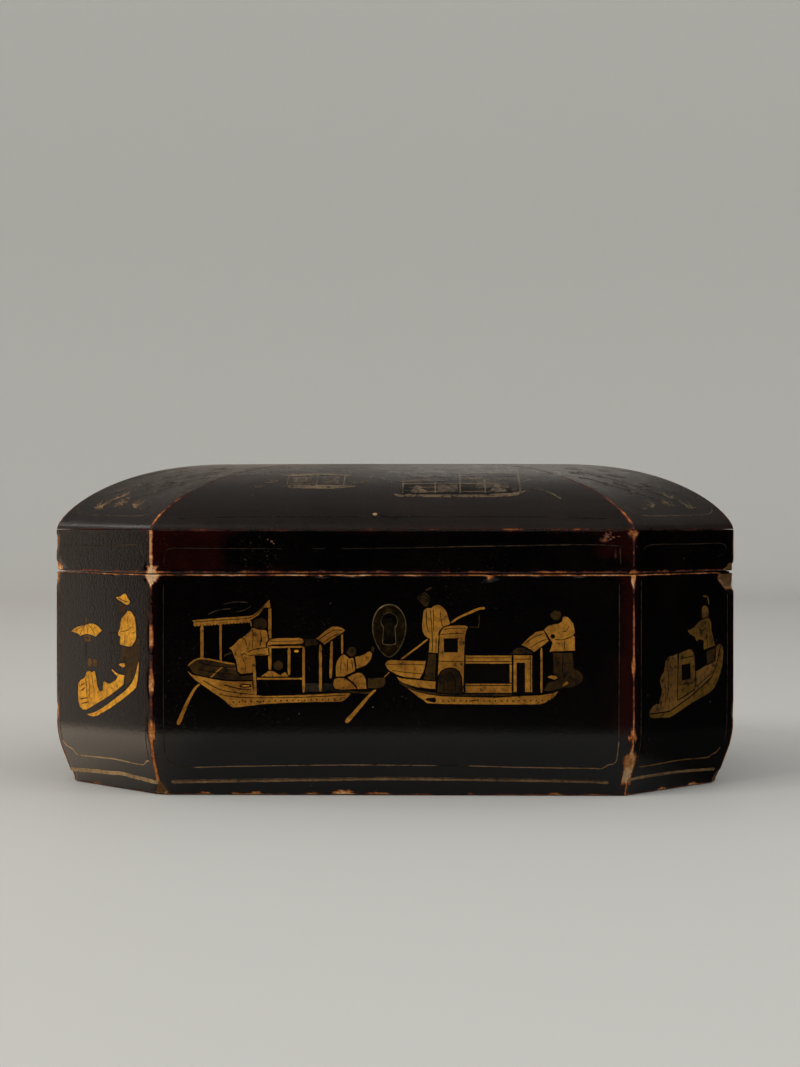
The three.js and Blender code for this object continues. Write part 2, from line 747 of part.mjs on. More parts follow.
// A flat loop on a tenon, about the middle of its own thickness.
function linkLoop() {
  const halfX = loopThickness / 2;
  const halfY = loopWidth / 2;
  const body = block([-halfX, -halfY, -loopDrop], [halfX, halfY, -lockSeatGap]);
  const eye = block(
    [-halfX - toolOverrun, -loopEyeWidth / 2, -loopEyeTop - loopEyeHeight],
    [halfX + toolOverrun, loopEyeWidth / 2, -loopEyeTop],
  );
  const tenon = block(
    [-loopTenonThickness / 2, -loopTenonWidth / 2, -loopEyeTop / 2],
    [loopTenonThickness / 2, loopTenonWidth / 2, linkPlateThickness],
  );
  return cut(join(body, tenon), eye);
}

function buildBody() {
  const body = new THREE.Group();
  const backCuts = [bevelWedge(-1), ...hingeCuts(-1)];
  const lockCut = moved(lockRecess(), lockOffset, 0, 0);
  sideNames.forEach((name, i) => {
    let wall = mitredBoard(i, wallSection());
    if (name.startsWith("back")) wall = cut(wall, ...backCuts);
    if (name === "front") wall = cut(wall, lockCut);
    addPiece(body, `${name}_wall`, wall, lacquer);
  });
  addPiece(body, "bottom_board", bottomBoard(), innerLacquer);
  addPiece(body, "keyhole_plate", keyPlate(), brass).position.x = lockOffset;
  return body;
}

function buildLock() {
  const lock = new THREE.Group();
  lock.position.set(lockOffset, innerFaceY, bodyHeight);
  addPiece(lock, "lock_plate", lockPlate(), brass);
  addPiece(lock, "lock_case", lockCase(), brass);
  addPiece(lock, "lock_bolt", lockBolt(), brass);
  addPiece(lock, "bolt_spring", boltSpring(), steel);
  addPiece(lock, "key_pin", rivetedPin(keyPinRadius, keyPinReach), steel).position.set(...keyPinPlace);
  for (const [end, place] of Object.entries(boltRestPlaces)) {
    const reach = boltMiddle + boltThickness / 2;
    addPiece(lock, `bolt_rest_${end}`, rivetedPin(boltRestRadius, reach), steel).position.set(...place);
  }
  lockScrewPlaces().forEach((place, k) => {
    addPiece(lock, `lock_screw_${k + 1}`, screw(), brass).position.set(...place);
  });
  return lock;
}

function buildHinge(end, x) {
  const hinge = new THREE.Group();
  hinge.position.set(x, hingeAxisY, hingeAxisZ);
  const halves = { body: -1, lid: 1 };
  for (const [half, side] of Object.entries(halves)) {
    addPiece(hinge, `hinge_${end}_${half}_leaf`, hingeLeaf(side), brass);
    leafScrewPlaces(side).forEach((place, k) => {
      const piece = addPiece(hinge, `hinge_${end}_${half}_screw_${k + 1}`, screw(), brass);
      piece.rotation.x = (-side * Math.PI) / 2;
      piece.position.set(...place);
    });
  }
  addPiece(hinge, `hinge_${end}_pin`, barAlongX(hingePinRadius, hingeLength), steel);
  return hinge;
}

function buildLid() {
  const lid = new THREE.Group();
  lid.position.z = lidBottom;
  const backCuts = [bevelWedge(1), ...hingeCuts(1)].map((tool) => moved(tool, 0, 0, -lidBottom));
  sideNames.forEach((name, i) => {
    let rim = mitredBoard(i, rimSection());
    if (name.startsWith("back")) rim = cut(rim, ...backCuts);
    if (name === "front") rim = cut(rim, linkRecess());
    addPiece(lid, `lid_${name}_rim`, rim, lacquer);
    addPiece(lid, `lid_${name}_stave`, domeStave(i), lacquer);
  });
  addPiece(lid, "lid_crown_board", crownBoard(), lacquer);
  const link = new THREE.Group();
  link.position.set(lockOffset, innerFaceY, 0);
  addPiece(link, "link_plate", linkPlate(), brass);
  for (const [end, x] of Object.entries({ left: -loopOffset, right: loopOffset })) {
    addPiece(link, `link_loop_${end}`, linkLoop(), brass).position.set(x, -boltMiddle, 0);
  }
  linkScrewPlaces().forEach((place, k) => {
    const piece = addPiece(link, `link_screw_${k + 1}`, screw(), brass);
    piece.rotation.x = -Math.PI / 2;
    piece.position.set(...place);
  });
  lid.add(link);
  return lid;
}

const chest = new THREE.Group();
chest.add(buildBody(), buildLock(), buildLid());
for (const [end, x] of Object.entries(hingePlaces)) chest.add(buildHinge(end, x));

export default chest;
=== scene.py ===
import math

import bmesh
import bpy
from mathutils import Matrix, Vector, geometry, noise


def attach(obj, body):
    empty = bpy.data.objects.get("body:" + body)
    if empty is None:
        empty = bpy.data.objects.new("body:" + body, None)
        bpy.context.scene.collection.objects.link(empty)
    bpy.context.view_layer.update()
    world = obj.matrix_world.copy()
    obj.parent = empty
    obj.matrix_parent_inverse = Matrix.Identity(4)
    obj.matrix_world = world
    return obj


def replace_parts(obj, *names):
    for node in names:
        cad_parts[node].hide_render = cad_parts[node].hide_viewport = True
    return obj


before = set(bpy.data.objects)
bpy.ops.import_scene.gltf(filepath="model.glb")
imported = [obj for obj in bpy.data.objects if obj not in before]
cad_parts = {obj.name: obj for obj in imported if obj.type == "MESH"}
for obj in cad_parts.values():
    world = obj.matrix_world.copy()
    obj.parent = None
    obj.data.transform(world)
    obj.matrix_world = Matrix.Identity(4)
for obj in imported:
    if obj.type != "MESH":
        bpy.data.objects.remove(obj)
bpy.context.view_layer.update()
mm = 0.001
scene = bpy.context.scene

# The photograph's place and angle, in metres and degrees.
cameraLook = {"lens": 67.58, "sensor": 36, "turn": 0.98, "tilt": 0.44, "spot": (0.01658, -0.88705, 0.10911)}
camera = bpy.data.objects.new("camera", bpy.data.cameras.new("camera"))
scene.collection.objects.link(camera)
camera.data.lens = cameraLook["lens"]
camera.data.sensor_width = cameraLook["sensor"]
turn = math.radians(cameraLook["turn"])
tilt = math.radians(cameraLook["tilt"])
viewDirection = Vector((-math.sin(turn) * math.cos(tilt), math.cos(turn) * math.cos(tilt), -math.sin(tilt)))
camera.location = cameraLook["spot"]
camera.rotation_euler = viewDirection.to_track_quat("-Z", "Y").to_euler()
scene.camera = camera
scene.view_settings.view_transform = "Standard"

# Sizes in mm and degrees, as in the CAD.
walls = {
    "halfWidth": 140.0,
    "halfDepth": 105.0,
    "cornerCut": 45.5,
    "height": 87.0,
    "thickness": 11.0,
    "footInset": 7.0,
    "taper": 20,
    "curve": 40.0,
    "rounding": 0.5,
    "groove": (8.0, 2.75, 10.25),  # its floor's inset, its low and its high side
}
rims = {"bottom": 87.4, "height": 17.0}
dome = {
    "seat": 0.2,
    "rise": 28.5,
    "fullness": 2.41,
    "shoulder": 1.46,
    "frontRidgeHalf": 25.3,
    "sideRidgeHalf": 66.4,
    "crownShare": 0.6,
    "crownThickness": 9.5,
    "hollow": 2.2,
    "hollowShoulder": 1.6,
}
hinges = {"x": 55.0, "axisY": 101.8, "axisZ": 87.2, "open": 100, "halfPocket": 16.3, "barrel": 2.6}

halfWidth = walls["halfWidth"]
halfDepth = walls["halfDepth"]
wallThickness = walls["thickness"]
bodyHeight = walls["height"]
lidBottom = rims["bottom"]
domeBase = lidBottom + rims["height"] + dome["seat"]
domeTop = lidBottom + rims["height"] + dome["rise"]
crownUnderside = domeTop - dome["crownThickness"]
halfMitre = math.tan(math.radians(22.5))
sideNames = ("front", "front_right", "right", "back_right", "back", "back_left", "left", "front_left")
hiddenSides = (2, 3, 4, 5, 6)
cantedReach = (halfWidth + halfDepth - walls["cornerCut"]) / math.sqrt(2)
reaches = (halfDepth, cantedReach, halfWidth, cantedReach)
middleShift = (halfWidth - halfDepth) / math.sqrt(2)
middleShifts = (0.0, middleShift, 0.0, -middleShift)  # from the foot of the side's normal to its middle
cantedHalf = walls["cornerCut"] / math.sqrt(2)
halfLengths = (halfWidth - walls["cornerCut"], cantedHalf, halfDepth - walls["cornerCut"], cantedHalf)


def clamp(value, low=0.0, high=1.0):
    return max(low, min(high, value))


def smooth(low, high, value):
    share = clamp((value - low) / (high - low))
    return share * share * (3 - 2 * share)


# Smooth unchanging noise between about -1 and 1.
def roughly(x, y=0.0, z=0.0):
    return noise.noise(Vector((x, y, z)))


def onCircle(middle, radius, angle):
    return middle[0] + radius * math.cos(angle), middle[1] + radius * math.sin(angle)


def outward(i):
    return Vector((*onCircle((0, 0), 1, math.radians(-90 + 45 * (i % 8))), 0))


def along(i):
    normal = outward(i)
    return Vector((-normal.y, normal.x, 0))


# A direction off side i from its level and its upward part.
def tiltedOut(direction, out, up):
    return direction * out + Vector((0, 0, up))


# A point of side i in mm: u to the right of its middle, inset inwards from its widest plane.
def place(i, u, inset, z):
    return outward(i) * (reaches[i % 4] - inset) + along(i) * (u + middleShifts[i % 4]) + Vector((0, 0, z))


def halfSpan(i, inset):
    return halfLengths[i % 4] - inset * halfMitre


taperAngle = math.radians(walls["taper"])
curveRadius = walls["curve"]
arcInset = curveRadius * (1 - math.cos(taperAngle))
taperRise = (walls["footInset"] - arcInset) / math.tan(taperAngle)
arcTop = taperRise + curveRadius * math.sin(taperAngle)
uprightLength = bodyHeight - arcTop
arcEnd = uprightLength + curveRadius * taperAngle
wallLength = arcEnd + taperRise / math.cos(taperAngle)


# Inset, height and the outward normal's two parts at v mm down the wall's face from its top.
def wallPoint(v):
    if v <= uprightLength:
        return 0.0, bodyHeight - v, 1.0, 0.0
    angle = min((v - uprightLength) / curveRadius, taperAngle)
    rest = max(v - arcEnd, 0.0)
    inset = curveRadius * (1 - math.cos(angle)) + rest * math.sin(angle)
    z = arcTop - curveRadius * math.sin(angle) - rest * math.cos(angle)
    return inset, z, math.cos(angle), -math.sin(angle)


# How far down the wall's face a height lies.
def wallDistance(z):
    if z >= arcTop:
        return bodyHeight - z
    if z >= taperRise:
        return uprightLength + curveRadius * math.asin(clamp((arcTop - z) / curveRadius))
    return arcEnd + (taperRise - z) / math.cos(taperAngle)


def domeHeight(share):
    rise = (1 - (1 - clamp(share)) ** dome["fullness"]) ** (1 / dome["shoulder"])
    return domeBase + (domeTop - domeBase) * rise


def hipPoint(i, share):
    corner = place(i % 8, halfSpan(i, 0), 0, 0)
    half = dome["frontRidgeHalf"] if i % 4 in (0, 3) else dome["sideRidgeHalf"]
    point = corner.lerp(Vector((math.copysign(half, corner.x), 0, 0)), share)
    point.z = domeHeight(share)
    return point


# The dome's line over side i at a share of the way to the ridge: its left end, its right end, its length.
def domeLine(i, share):
    left, right = hipPoint(i - 1, share), hipPoint(i, share)
    return left, right, (right - left).length


def domeNormal(i, across, share):
    step = 0.004
    left, right, length = domeLine(i, share)
    low, high = (domeLine(i, clamp(share + turned, 0.0005, 0.9995)) for turned in (-step, step))
    run = right - left if length >= 0.5 else along(i)
    return run.cross(high[0].lerp(high[1], across) - low[0].lerp(low[1], across)).normalized()


def newObject(name, vertices, faces, materials, faceMaterials=None, scale=mm):
    mesh = bpy.data.meshes.new(name)
    mesh.from_pydata([tuple(Vector(v) * scale) for v in vertices], [], faces)
    for material in materials:
        mesh.materials.append(material)
    if faceMaterials:
        mesh.polygons.foreach_set("material_index", faceMaterials)
    mesh.update()
    piece = bpy.data.objects.new(name, mesh)
    scene.collection.objects.link(piece)
    return piece


# Runs a piece's mesh through one step of editing.
def reshape(piece, step):
    bm = bmesh.new()
    bm.from_mesh(piece.data)
    step(bm)
    bm.to_mesh(piece.data)
    bm.free()
    return piece


def faceOutwards(bm):
    bmesh.ops.recalc_face_normals(bm, faces=bm.faces)


def shadeSmooth(piece):
    piece.data.polygons.foreach_set("use_smooth", [True] * len(piece.data.polygons))


def smoothByAngle(piece, degrees=35):
    def keepCreases(bm):
        for edge in bm.edges:
            if len(edge.link_faces) == 2:
                edge.smooth = edge.calc_face_angle(0) < math.radians(degrees)

    shadeSmooth(piece)
    reshape(piece, keepCreases)


def writeValues(piece, name, values):
    piece.data.attributes.new(name, "FLOAT", "POINT").data.foreach_set("value", values)


# The four-sided faces between a ring of points and the next one. Each starts at its number in the mesh.
def bandFaces(start, following, count, closed=True):
    ends = [(k, (k + 1) % count) for k in range(count if closed else count - 1)]
    return [(start + a, start + b, following + b, following + a) for a, b in ends]


# Material helpers. A value is linked to a socket or set there.
def feed(tree, socket, value):
    if isinstance(value, bpy.types.NodeSocket):
        tree.links.new(value, socket)
    else:
        socket.default_value = (*value, 1) if socket.type == "RGBA" else value


def add(tree, kind, inputs=None, **settings):
    node = tree.nodes.new(kind)
    for key, value in settings.items():
        setattr(node, key, value)
    for key, value in (inputs or {}).items():
        feed(tree, node.inputs[key], value)
    return node


def mapped(tree, **settings):
    where = add(tree, "ShaderNodeTexCoord").outputs["Object"]
    if not settings:
        return where
    return add(tree, "ShaderNodeMapping", {"Vector": where, **settings}).outputs["Vector"]


def noiseAt(tree, scale, detail=3.0, stretch=None, roughness=0.55):
    where = mapped(tree, Scale=stretch) if stretch else mapped(tree)
    inputs = {"Vector": where, "Scale": scale, "Detail": detail, "Roughness": roughness}
    return add(tree, "ShaderNodeTexNoise", inputs).outputs["Fac"]


# Colours at places along a value. A single number stands for a grey.
def ramp(tree, value, *stops):
    node = add(tree, "ShaderNodeValToRGB", {"Fac": value})
    elements = node.color_ramp.elements
    while len(elements) < len(stops):
        elements.new(0.5)
    for element, (position, color) in zip(elements, stops):
        element.position = position
        element.color = (*color, 1) if isinstance(color, tuple) else (color, color, color, 1)
    return node.outputs["Color"]


def mathNode(tree, operation, a, b, c=None):
    inputs = {0: a, 1: b} if c is None else {0: a, 1: b, 2: c}
    return add(tree, "ShaderNodeMath", inputs, operation=operation).outputs["Value"]


# A value moved up and down by a pattern.
def swayed(tree, value, pattern, amount):
    return mathNode(tree, "MULTIPLY_ADD", mathNode(tree, "SUBTRACT", pattern, 0.5), amount, value)


def mixColor(tree, factor, a, b, blend="MIX"):
    return add(tree, "ShaderNodeMix", {0: factor, 6: a, 7: b}, data_type="RGBA", blend_type=blend).outputs[2]


def multiplied(tree, a, b, share=1.0):
    return mixColor(tree, share, a, b, "MULTIPLY")


def attribute(tree, name):
    return add(tree, "ShaderNodeAttribute", attribute_name=name).outputs["Fac"]


# Sets a surface's looks and its bumps, one on top of the other: height, strength and depth in metres.
def finishMaterial(tree, looks, bumps):
    shader = tree.nodes["Principled BSDF"]
    for height, strength, distance in bumps:
        node = add(tree, "ShaderNodeBump", {"Height": height, "Strength": strength, "Distance": distance})
        if "Normal" in looks:
            feed(tree, node.inputs["Normal"], looks["Normal"])
        looks["Normal"] = node.outputs["Normal"]
    for name, value in looks.items():
        feed(tree, shader.inputs[name], value)


def startMaterial(name):
    material = bpy.data.materials.new(name)
    material.use_nodes = True
    return material, material.node_tree


# Black lacquer with worn edges that show the oxblood coat and then the tan ground and wood.
lacquerLook = {
    "redCoat": (0.012, 0.0014, 0.0009),
    "layers": (
        (0.40, (0.025, 0.004, 0.0025)),
        (0.52, (0.080, 0.017, 0.009)),
        (0.61, (0.21, 0.052, 0.014)),
        (0.76, (0.45, 0.145, 0.026)),
        (0.90, (0.68, 0.32, 0.115)),
        (1.05, (0.78, 0.50, 0.29)),
    ),
    "wood": ((0.3, (0.050, 0.022, 0.004)), (0.7, (0.15, 0.070, 0.016))),
    "scratch": (0.20, 0.15, 0.11),
    "scratches": ((0.35, 260), (1.9, 330), (2.6, 210)),  # direction and fineness
    "roughWhereWorn": 0.62,
}


def lacquerMaterial(name, coats, gloss, brushing):
    look = lacquerLook
    material, tree = startMaterial(name)
    fine = noiseAt(tree, 900, 5, roughness=0.65)
    medium = noiseAt(tree, 160, 4)
    broad = noiseAt(tree, 28, 3)
    # the wear line is broken by two sizes of noise
    edge = swayed(tree, swayed(tree, attribute(tree, "wear"), fine, 0.55), medium, 0.75)
    worn = ramp(tree, edge, (0.36, 0), (0.44, 1))
    coat = ramp(tree, broad, (0.3, coats[0]), (0.62, coats[1]), (0.8, coats[2]))
    brushed = noiseAt(tree, 190, 4, (0.07, 1, 1))
    coat = multiplied(tree, coat, ramp(tree, brushed, (0.35, 0.45), (0.7, 1.6)), brushing)
    redShare = ramp(tree, swayed(tree, attribute(tree, "rub"), medium, 0.9), (0.25, 0), (0.95, 1))
    coat = mixColor(tree, redShare, coat, look["redCoat"])
    bareWood = ramp(tree, noiseAt(tree, 420, 4, (0.15, 1, 1)), *look["wood"])
    layers = mixColor(tree, attribute(tree, "wood"), ramp(tree, edge, *look["layers"]), bareWood)
    layers = multiplied(tree, layers, ramp(tree, fine, (0.3, 0.55), (0.7, 1.05)))
    color = mixColor(tree, worn, coat, layers)
    # hairline scratches in three directions and sparse pale specks
    scratches = None
    for direction, fineness in look["scratches"]:
        turned = mapped(tree, Rotation=(direction, 0.4 * direction, direction), Scale=(1, 0.03, 1))
        pattern = {"Vector": turned, "Scale": fineness * 6, "Detail": 1.0}
        line = add(tree, "ShaderNodeTexNoise", pattern).outputs["Fac"]
        line = ramp(tree, line, (0.735, 0), (0.765, 1))
        scratches = mathNode(tree, "MAXIMUM", scratches, line) if scratches else line
    scratches = mathNode(tree, "MULTIPLY", scratches, ramp(tree, noiseAt(tree, 45, 2), (0.45, 0), (0.62, 1)))
    cells = add(tree, "ShaderNodeTexVoronoi", {"Vector": mapped(tree), "Scale": 210.0}).outputs["Distance"]
    specks = ramp(tree, cells, (0.045, 1), (0.075, 0))
    specks = mathNode(tree, "MULTIPLY", specks, ramp(tree, medium, (0.56, 0), (0.6, 1)))
    marks = [mathNode(tree, "MULTIPLY", kind, share) for kind, share in ((scratches, 0.16), (specks, 0.4))]
    satin = ramp(tree, medium, (0.25, gloss[0]), (0.75, gloss[1]))
    satin = mathNode(tree, "MULTIPLY_ADD", scratches, 0.2, swayed(tree, satin, brushed, 0.3 * brushing))
    looks = {
        "Base Color": mixColor(tree, mathNode(tree, "MAXIMUM", *marks), color, look["scratch"]),
        "Roughness": mixColor(tree, worn, satin, (look["roughWhereWorn"],) * 3),
        # bare ground and wood drink the light and shine less than the lacquer
        "Specular IOR Level": ramp(tree, worn, (0, 0.5), (1, 0.16)),
        "IOR": 1.53,
    }
    bumps = (
        (broad, 0.05, 0.0006),
        (medium, 0.012, 0.0003),
        (brushed, 0.10 * brushing, 0.0002),
        (mathNode(tree, "MULTIPLY", scratches, -1.0), 0.25, 0.00003),
        (mathNode(tree, "MULTIPLY_ADD", worn, -1.0, fine), 0.5, 0.00012),
    )
    finishMaterial(tree, looks, bumps)
    return material


# The plainer dark red lacquer inside, brushed on thinly over the wood.
def innerLacquerMaterial():
    material, tree = startMaterial("lacquer_inner_red")
    strokes = noiseAt(tree, 120, 4, (1, 1, 0.12))
    coats = ((0.25, (0.030, 0.008, 0.005)), (0.55, (0.062, 0.014, 0.008)), (0.8, (0.095, 0.026, 0.014)))
    color = ramp(tree, noiseAt(tree, 24, 3), *coats)
    looks = {
        "Base Color": multiplied(tree, color, ramp(tree, strokes, (0.3, 0.65), (0.7, 1.1))),
        "Roughness": ramp(tree, strokes, (0.2, 0.38), (0.8, 0.56)),
    }
    finishMaterial(tree, looks, ((strokes, 0.25, 0.0003), (noiseAt(tree, 800, 4), 0.15, 0.0001)))
    return material


# Bare softwood where a chip goes through every coat, and on the cut faces of the joints.
def woodMaterial():
    material, tree = startMaterial("wood_bare")
    grain = noiseAt(tree, 300, 5, (0.12, 1, 1))
    browns = ((0.3, (0.16, 0.075, 0.032)), (0.55, (0.27, 0.14, 0.065)), (0.75, (0.36, 0.20, 0.10)))
    looks = {"Base Color": ramp(tree, grain, *browns), "Roughness": ramp(tree, grain, (0.3, 0.6), (0.7, 0.8))}
    finishMaterial(tree, looks, ((grain, 0.4, 0.0002),))
    return material


# Gold powder in lacquer, rubbed thin in places so that the black shows through.
def goldMaterial(name, light, deep, metallic, threshold, roughness):
    material, tree = startMaterial(name)
    rubbing = noiseAt(tree, 520, 5, roughness=0.7)
    cloud = noiseAt(tree, 70, 3)
    grain = noiseAt(tree, 2600, 2)
    color = ramp(tree, cloud, (0.3, deep), (0.65, light))
    color = multiplied(tree, color, ramp(tree, grain, (0.3, 0.55), (0.7, 1.2)), 0.55)
    color = multiplied(tree, color, ramp(tree, rubbing, (0.36, 0.42), (0.56, 1.12)), 0.75)
    bare = ramp(tree, swayed(tree, rubbing, cloud, 0.35), (threshold - 0.035, 1), (threshold + 0.03, 0))
    powdery = roughness > 0.39
    looks = {
        "Base Color": mixColor(tree, bare, color, tuple(0.09 * part for part in deep)),
        "Specular IOR Level": 0.22 if powdery else 0.5,
        "Metallic": mathNode(tree, "MULTIPLY", mathNode(tree, "SUBTRACT", 1.0, bare), metallic),
        "Roughness": ramp(tree, grain, (0.25, roughness - 0.08), (0.75, roughness + 0.08)),
    }
    raised = 1.0 if powdery else 0.15
    bumps = ((cloud, 0.2 * raised, 0.0003), (rubbing, 0.3 * raised, 0.00006), (grain, 0.35, 0.00003))
    finishMaterial(tree, looks, bumps)
    return material


# Old brass or steel, with brown stains, dull and polished patches spread at random.
def metalMaterial(name, bright, dull, stain):
    material, tree = startMaterial(name)
    patina = noiseAt(tree, 260, 5)
    fine = noiseAt(tree, 1500, 3)
    color = ramp(tree, patina, (0.3, stain), (0.5, dull), (0.72, bright))
    looks = {
        "Base Color": multiplied(tree, color, ramp(tree, noiseAt(tree, 60, 2), (0.4, 0.72), (0.7, 1.15))),
        "Metallic": ramp(tree, patina, (0.3, 0.6), (0.7, 0.85)),
        "Roughness": ramp(tree, fine, (0.2, 0.36), (0.8, 0.58)),
    }
    finishMaterial(tree, looks, ((patina, 0.25, 0.0001), (fine, 0.25, 0.00004)))
    return material


# Brass gone nearly black, with a pale line where its edges are rubbed.
def plateMaterial():
    material, tree = startMaterial("brass_keyhole_plate")
    patina = noiseAt(tree, 380, 5)
    fine = noiseAt(tree, 1800, 3)
    browns = ((0.3, (0.006, 0.0034, 0.0009)), (0.55, (0.022, 0.0130, 0.0032)), (0.75, (0.075, 0.046, 0.010)))
    share = ramp(tree, swayed(tree, attribute(tree, "polish"), patina, 1.2), (0.62, 0), (1.05, 1))
    looks = {
        "Base Color": mixColor(tree, share, ramp(tree, patina, *browns), (0.20, 0.14, 0.065)),
        "Specular IOR Level": 0.1,
        "Metallic": 0.7,
        "Roughness": ramp(tree, fine, (0.2, 0.34), (0.8, 0.52)),
    }
    finishMaterial(tree, looks, ((patina, 0.25, 0.0001), (fine, 0.3, 0.00004)))
    return material


bodyCoats = ((0.0006, 0.0004, 0.0004), (0.0013, 0.0008, 0.0007), (0.0040, 0.0014, 0.0010))
domeCoats = ((0.0050, 0.0032, 0.0026), (0.0095, 0.0058, 0.0046), (0.018, 0.0085, 0.0060))
lacquer = lacquerMaterial("lacquer_black", bodyCoats, (0.055, 0.115), 0.12)
domeLacquer = lacquerMaterial("lacquer_black_rubbed", domeCoats, (0.24, 0.36), 0.6)
innerLacquer = innerLacquerMaterial()
wood = woodMaterial()
brass = metalMaterial("brass_old", (0.62, 0.44, 0.17), (0.36, 0.24, 0.09), (0.12, 0.075, 0.035))
darkBrass = metalMaterial("brass_dark", (0.26, 0.19, 0.085), (0.10, 0.072, 0.034), (0.035, 0.025, 0.014))
steel = metalMaterial("steel_old", (0.42, 0.40, 0.37), (0.24, 0.22, 0.20), (0.11, 0.075, 0.05))
darkSteel = metalMaterial("steel_dark", (0.050, 0.045, 0.040), (0.028, 0.025, 0.022), (0.014, 0.010, 0.008))
plateBrass = plateMaterial()
# Light and deep colour, metal share, how much is rubbed away, roughness.
goldLooks = {
    # gold is painted light: the front's gold made brighter for the left canted corner, as if lit there; two small
    # spots on the front boat use it too.
    "gold": ("gold_painted_lit", (1.0, 0.47, 0.035), (0.66, 0.27, 0.014), 0.35, 0.31, 0.42),
    "warm": ("gold_front", (0.52, 0.225, 0.026), (0.28, 0.108, 0.011), 0.35, 0.34, 0.44),
    # rubbed is the right canted corner's gold, more rubbed and also painted darker as shade.
    "rubbed": ("gold_rubbed_painted_shade", (0.20, 0.095, 0.008), (0.075, 0.035, 0.004), 0.35, 0.40, 0.46),
    "dim": ("gold_dim", (0.20, 0.092, 0.016), (0.095, 0.042, 0.007), 0.3, 0.40, 0.46),
    "tan": ("gold_tan", (0.27, 0.155, 0.068), (0.14, 0.078, 0.034), 0.25, 0.36, 0.46),
    "pale": ("gold_pale", (0.50, 0.32, 0.15), (0.28, 0.17, 0.075), 0.25, 0.34, 0.44),
    "olive": ("gold_olive", (0.085, 0.042, 0.008), (0.026, 0.012, 0.002), 0.55, 0.42, 0.46),
    "faint": ("gold_faint", (0.060, 0.038, 0.018), (0.022, 0.014, 0.008), 0.3, 0.47, 0.46),
    "ghost": ("gold_ghost", (0.030, 0.020, 0.012), (0.012, 0.008, 0.005), 0.2, 0.47, 0.42),
    "sprig": ("gold_sprig", (0.34, 0.20, 0.10), (0.17, 0.095, 0.045), 0.2, 0.40, 0.32),
    "faded": ("gold_faded", (0.17, 0.115, 0.062), (0.085, 0.056, 0.032), 0.1, 0.43, 0.30),
    "mist": ("gold_mist", (0.085, 0.055, 0.032), (0.045, 0.029, 0.018), 0.1, 0.46, 0.30),
    "scuff": ("worn_scuff", (0.26, 0.115, 0.072), (0.13, 0.045, 0.026), 0.0, 0.40, 0.5),
    "dark": ("line_dark", (0.0035, 0.0020, 0.0012), (0.002, 0.0012, 0.001), 0.0, 0.2, 0.18),
}
gold = {tone: goldMaterial(*look) for tone, look in goldLooks.items()}
print("materials made")

# Boards. Every wall, rim and stave is a closed board between two mitres, dense near its worn edges.
nearEdge = (0.0, 0.3, 0.6, 0.95, 1.4, 2.0, 2.8, 3.8, 5.2, 7.2)
arris = {"touch": 0.66, "depth": 0.12}
columnCounts = {
    "wall": (84, 24, 46, 24),
    "stave": (46, 20, 30, 20),
    "crown": (26, 14, 18, 14),
}


def columnPlaces(length, middleCount):
    scale = min(1.0, max(length, 0.0) / (2.6 * nearEdge[-1]))
    left = [distance * scale for distance in nearEdge]
    span = length - 2 * left[-1]
    middle = [left[-1] + span * (k + 1) / (middleCount + 1) for k in range(middleCount)]
    return left + middle + [length - distance for distance in reversed(left)]


# Chips on the upright edges: corner, v down the wall or rise up the rim, half height, width, depth.
# Corner i is after side i.
wallCornerChips = (
    (7, 0.6, 2.0, 3.8, 0.6), (7, 86.0, 3.4, 3.0, 0.7), (7, 61.5, 5.0, 2.0, 0.28), (7, 24.0, 4.5, 1.5, 0.22),
    (7, 42.0, 6.0, 1.6, 0.22), (0, 1.6, 3.4, 1.7, 0.5), (0, 75.5, 9.5, 3.6, 0.6), (0, 63.5, 3.0, 2.4, 0.35),
    (0, 36.0, 4.0, 1.3, 0.2), (1, 1.5, 6.0, 9.5, 1.1), (1, 58.0, 4.0, 1.8, 0.3), (1, 85.8, 3.4, 3.0, 0.6),
    (6, 56.5, 3.8, 1.9, 0.45), (6, 2.2, 3.6, 2.2, 0.4), (6, 85.4, 2.6, 2.6, 0.5), (2, 3.0, 3.6, 2.6, 0.5),
    (2, 84.0, 4.4, 3.2, 0.7), (3, 46.0, 5.0, 1.8, 0.3), (3, 86.0, 3.0, 3.2, 0.7), (4, 2.0, 4.4, 3.0, 0.6),
    (4, 70.0, 6.0, 2.2, 0.35), (5, 85.0, 4.0, 3.0, 0.6), (5, 30.0, 5.0, 1.7, 0.25),
)
rimCornerChips = (
    (7, 1.0, 2.6, 3.8, 0.5), (0, 0.5, 1.3, 2.6, 0.3), (0, 15.8, 2.2, 3.0, 0.15), (1, 0.8, 3.0, 6.0, 0.7),
    (6, 1.4, 2.8, 5.5, 0.5), (6, 12.0, 4.5, 1.8, 0.35), (2, 1.4, 2.8, 4.0, 0.5), (3, 15.0, 3.5, 2.2, 0.3),
    (4, 1.2, 3.0, 3.6, 0.5), (5, 3.0, 3.5, 2.6, 0.4),
)
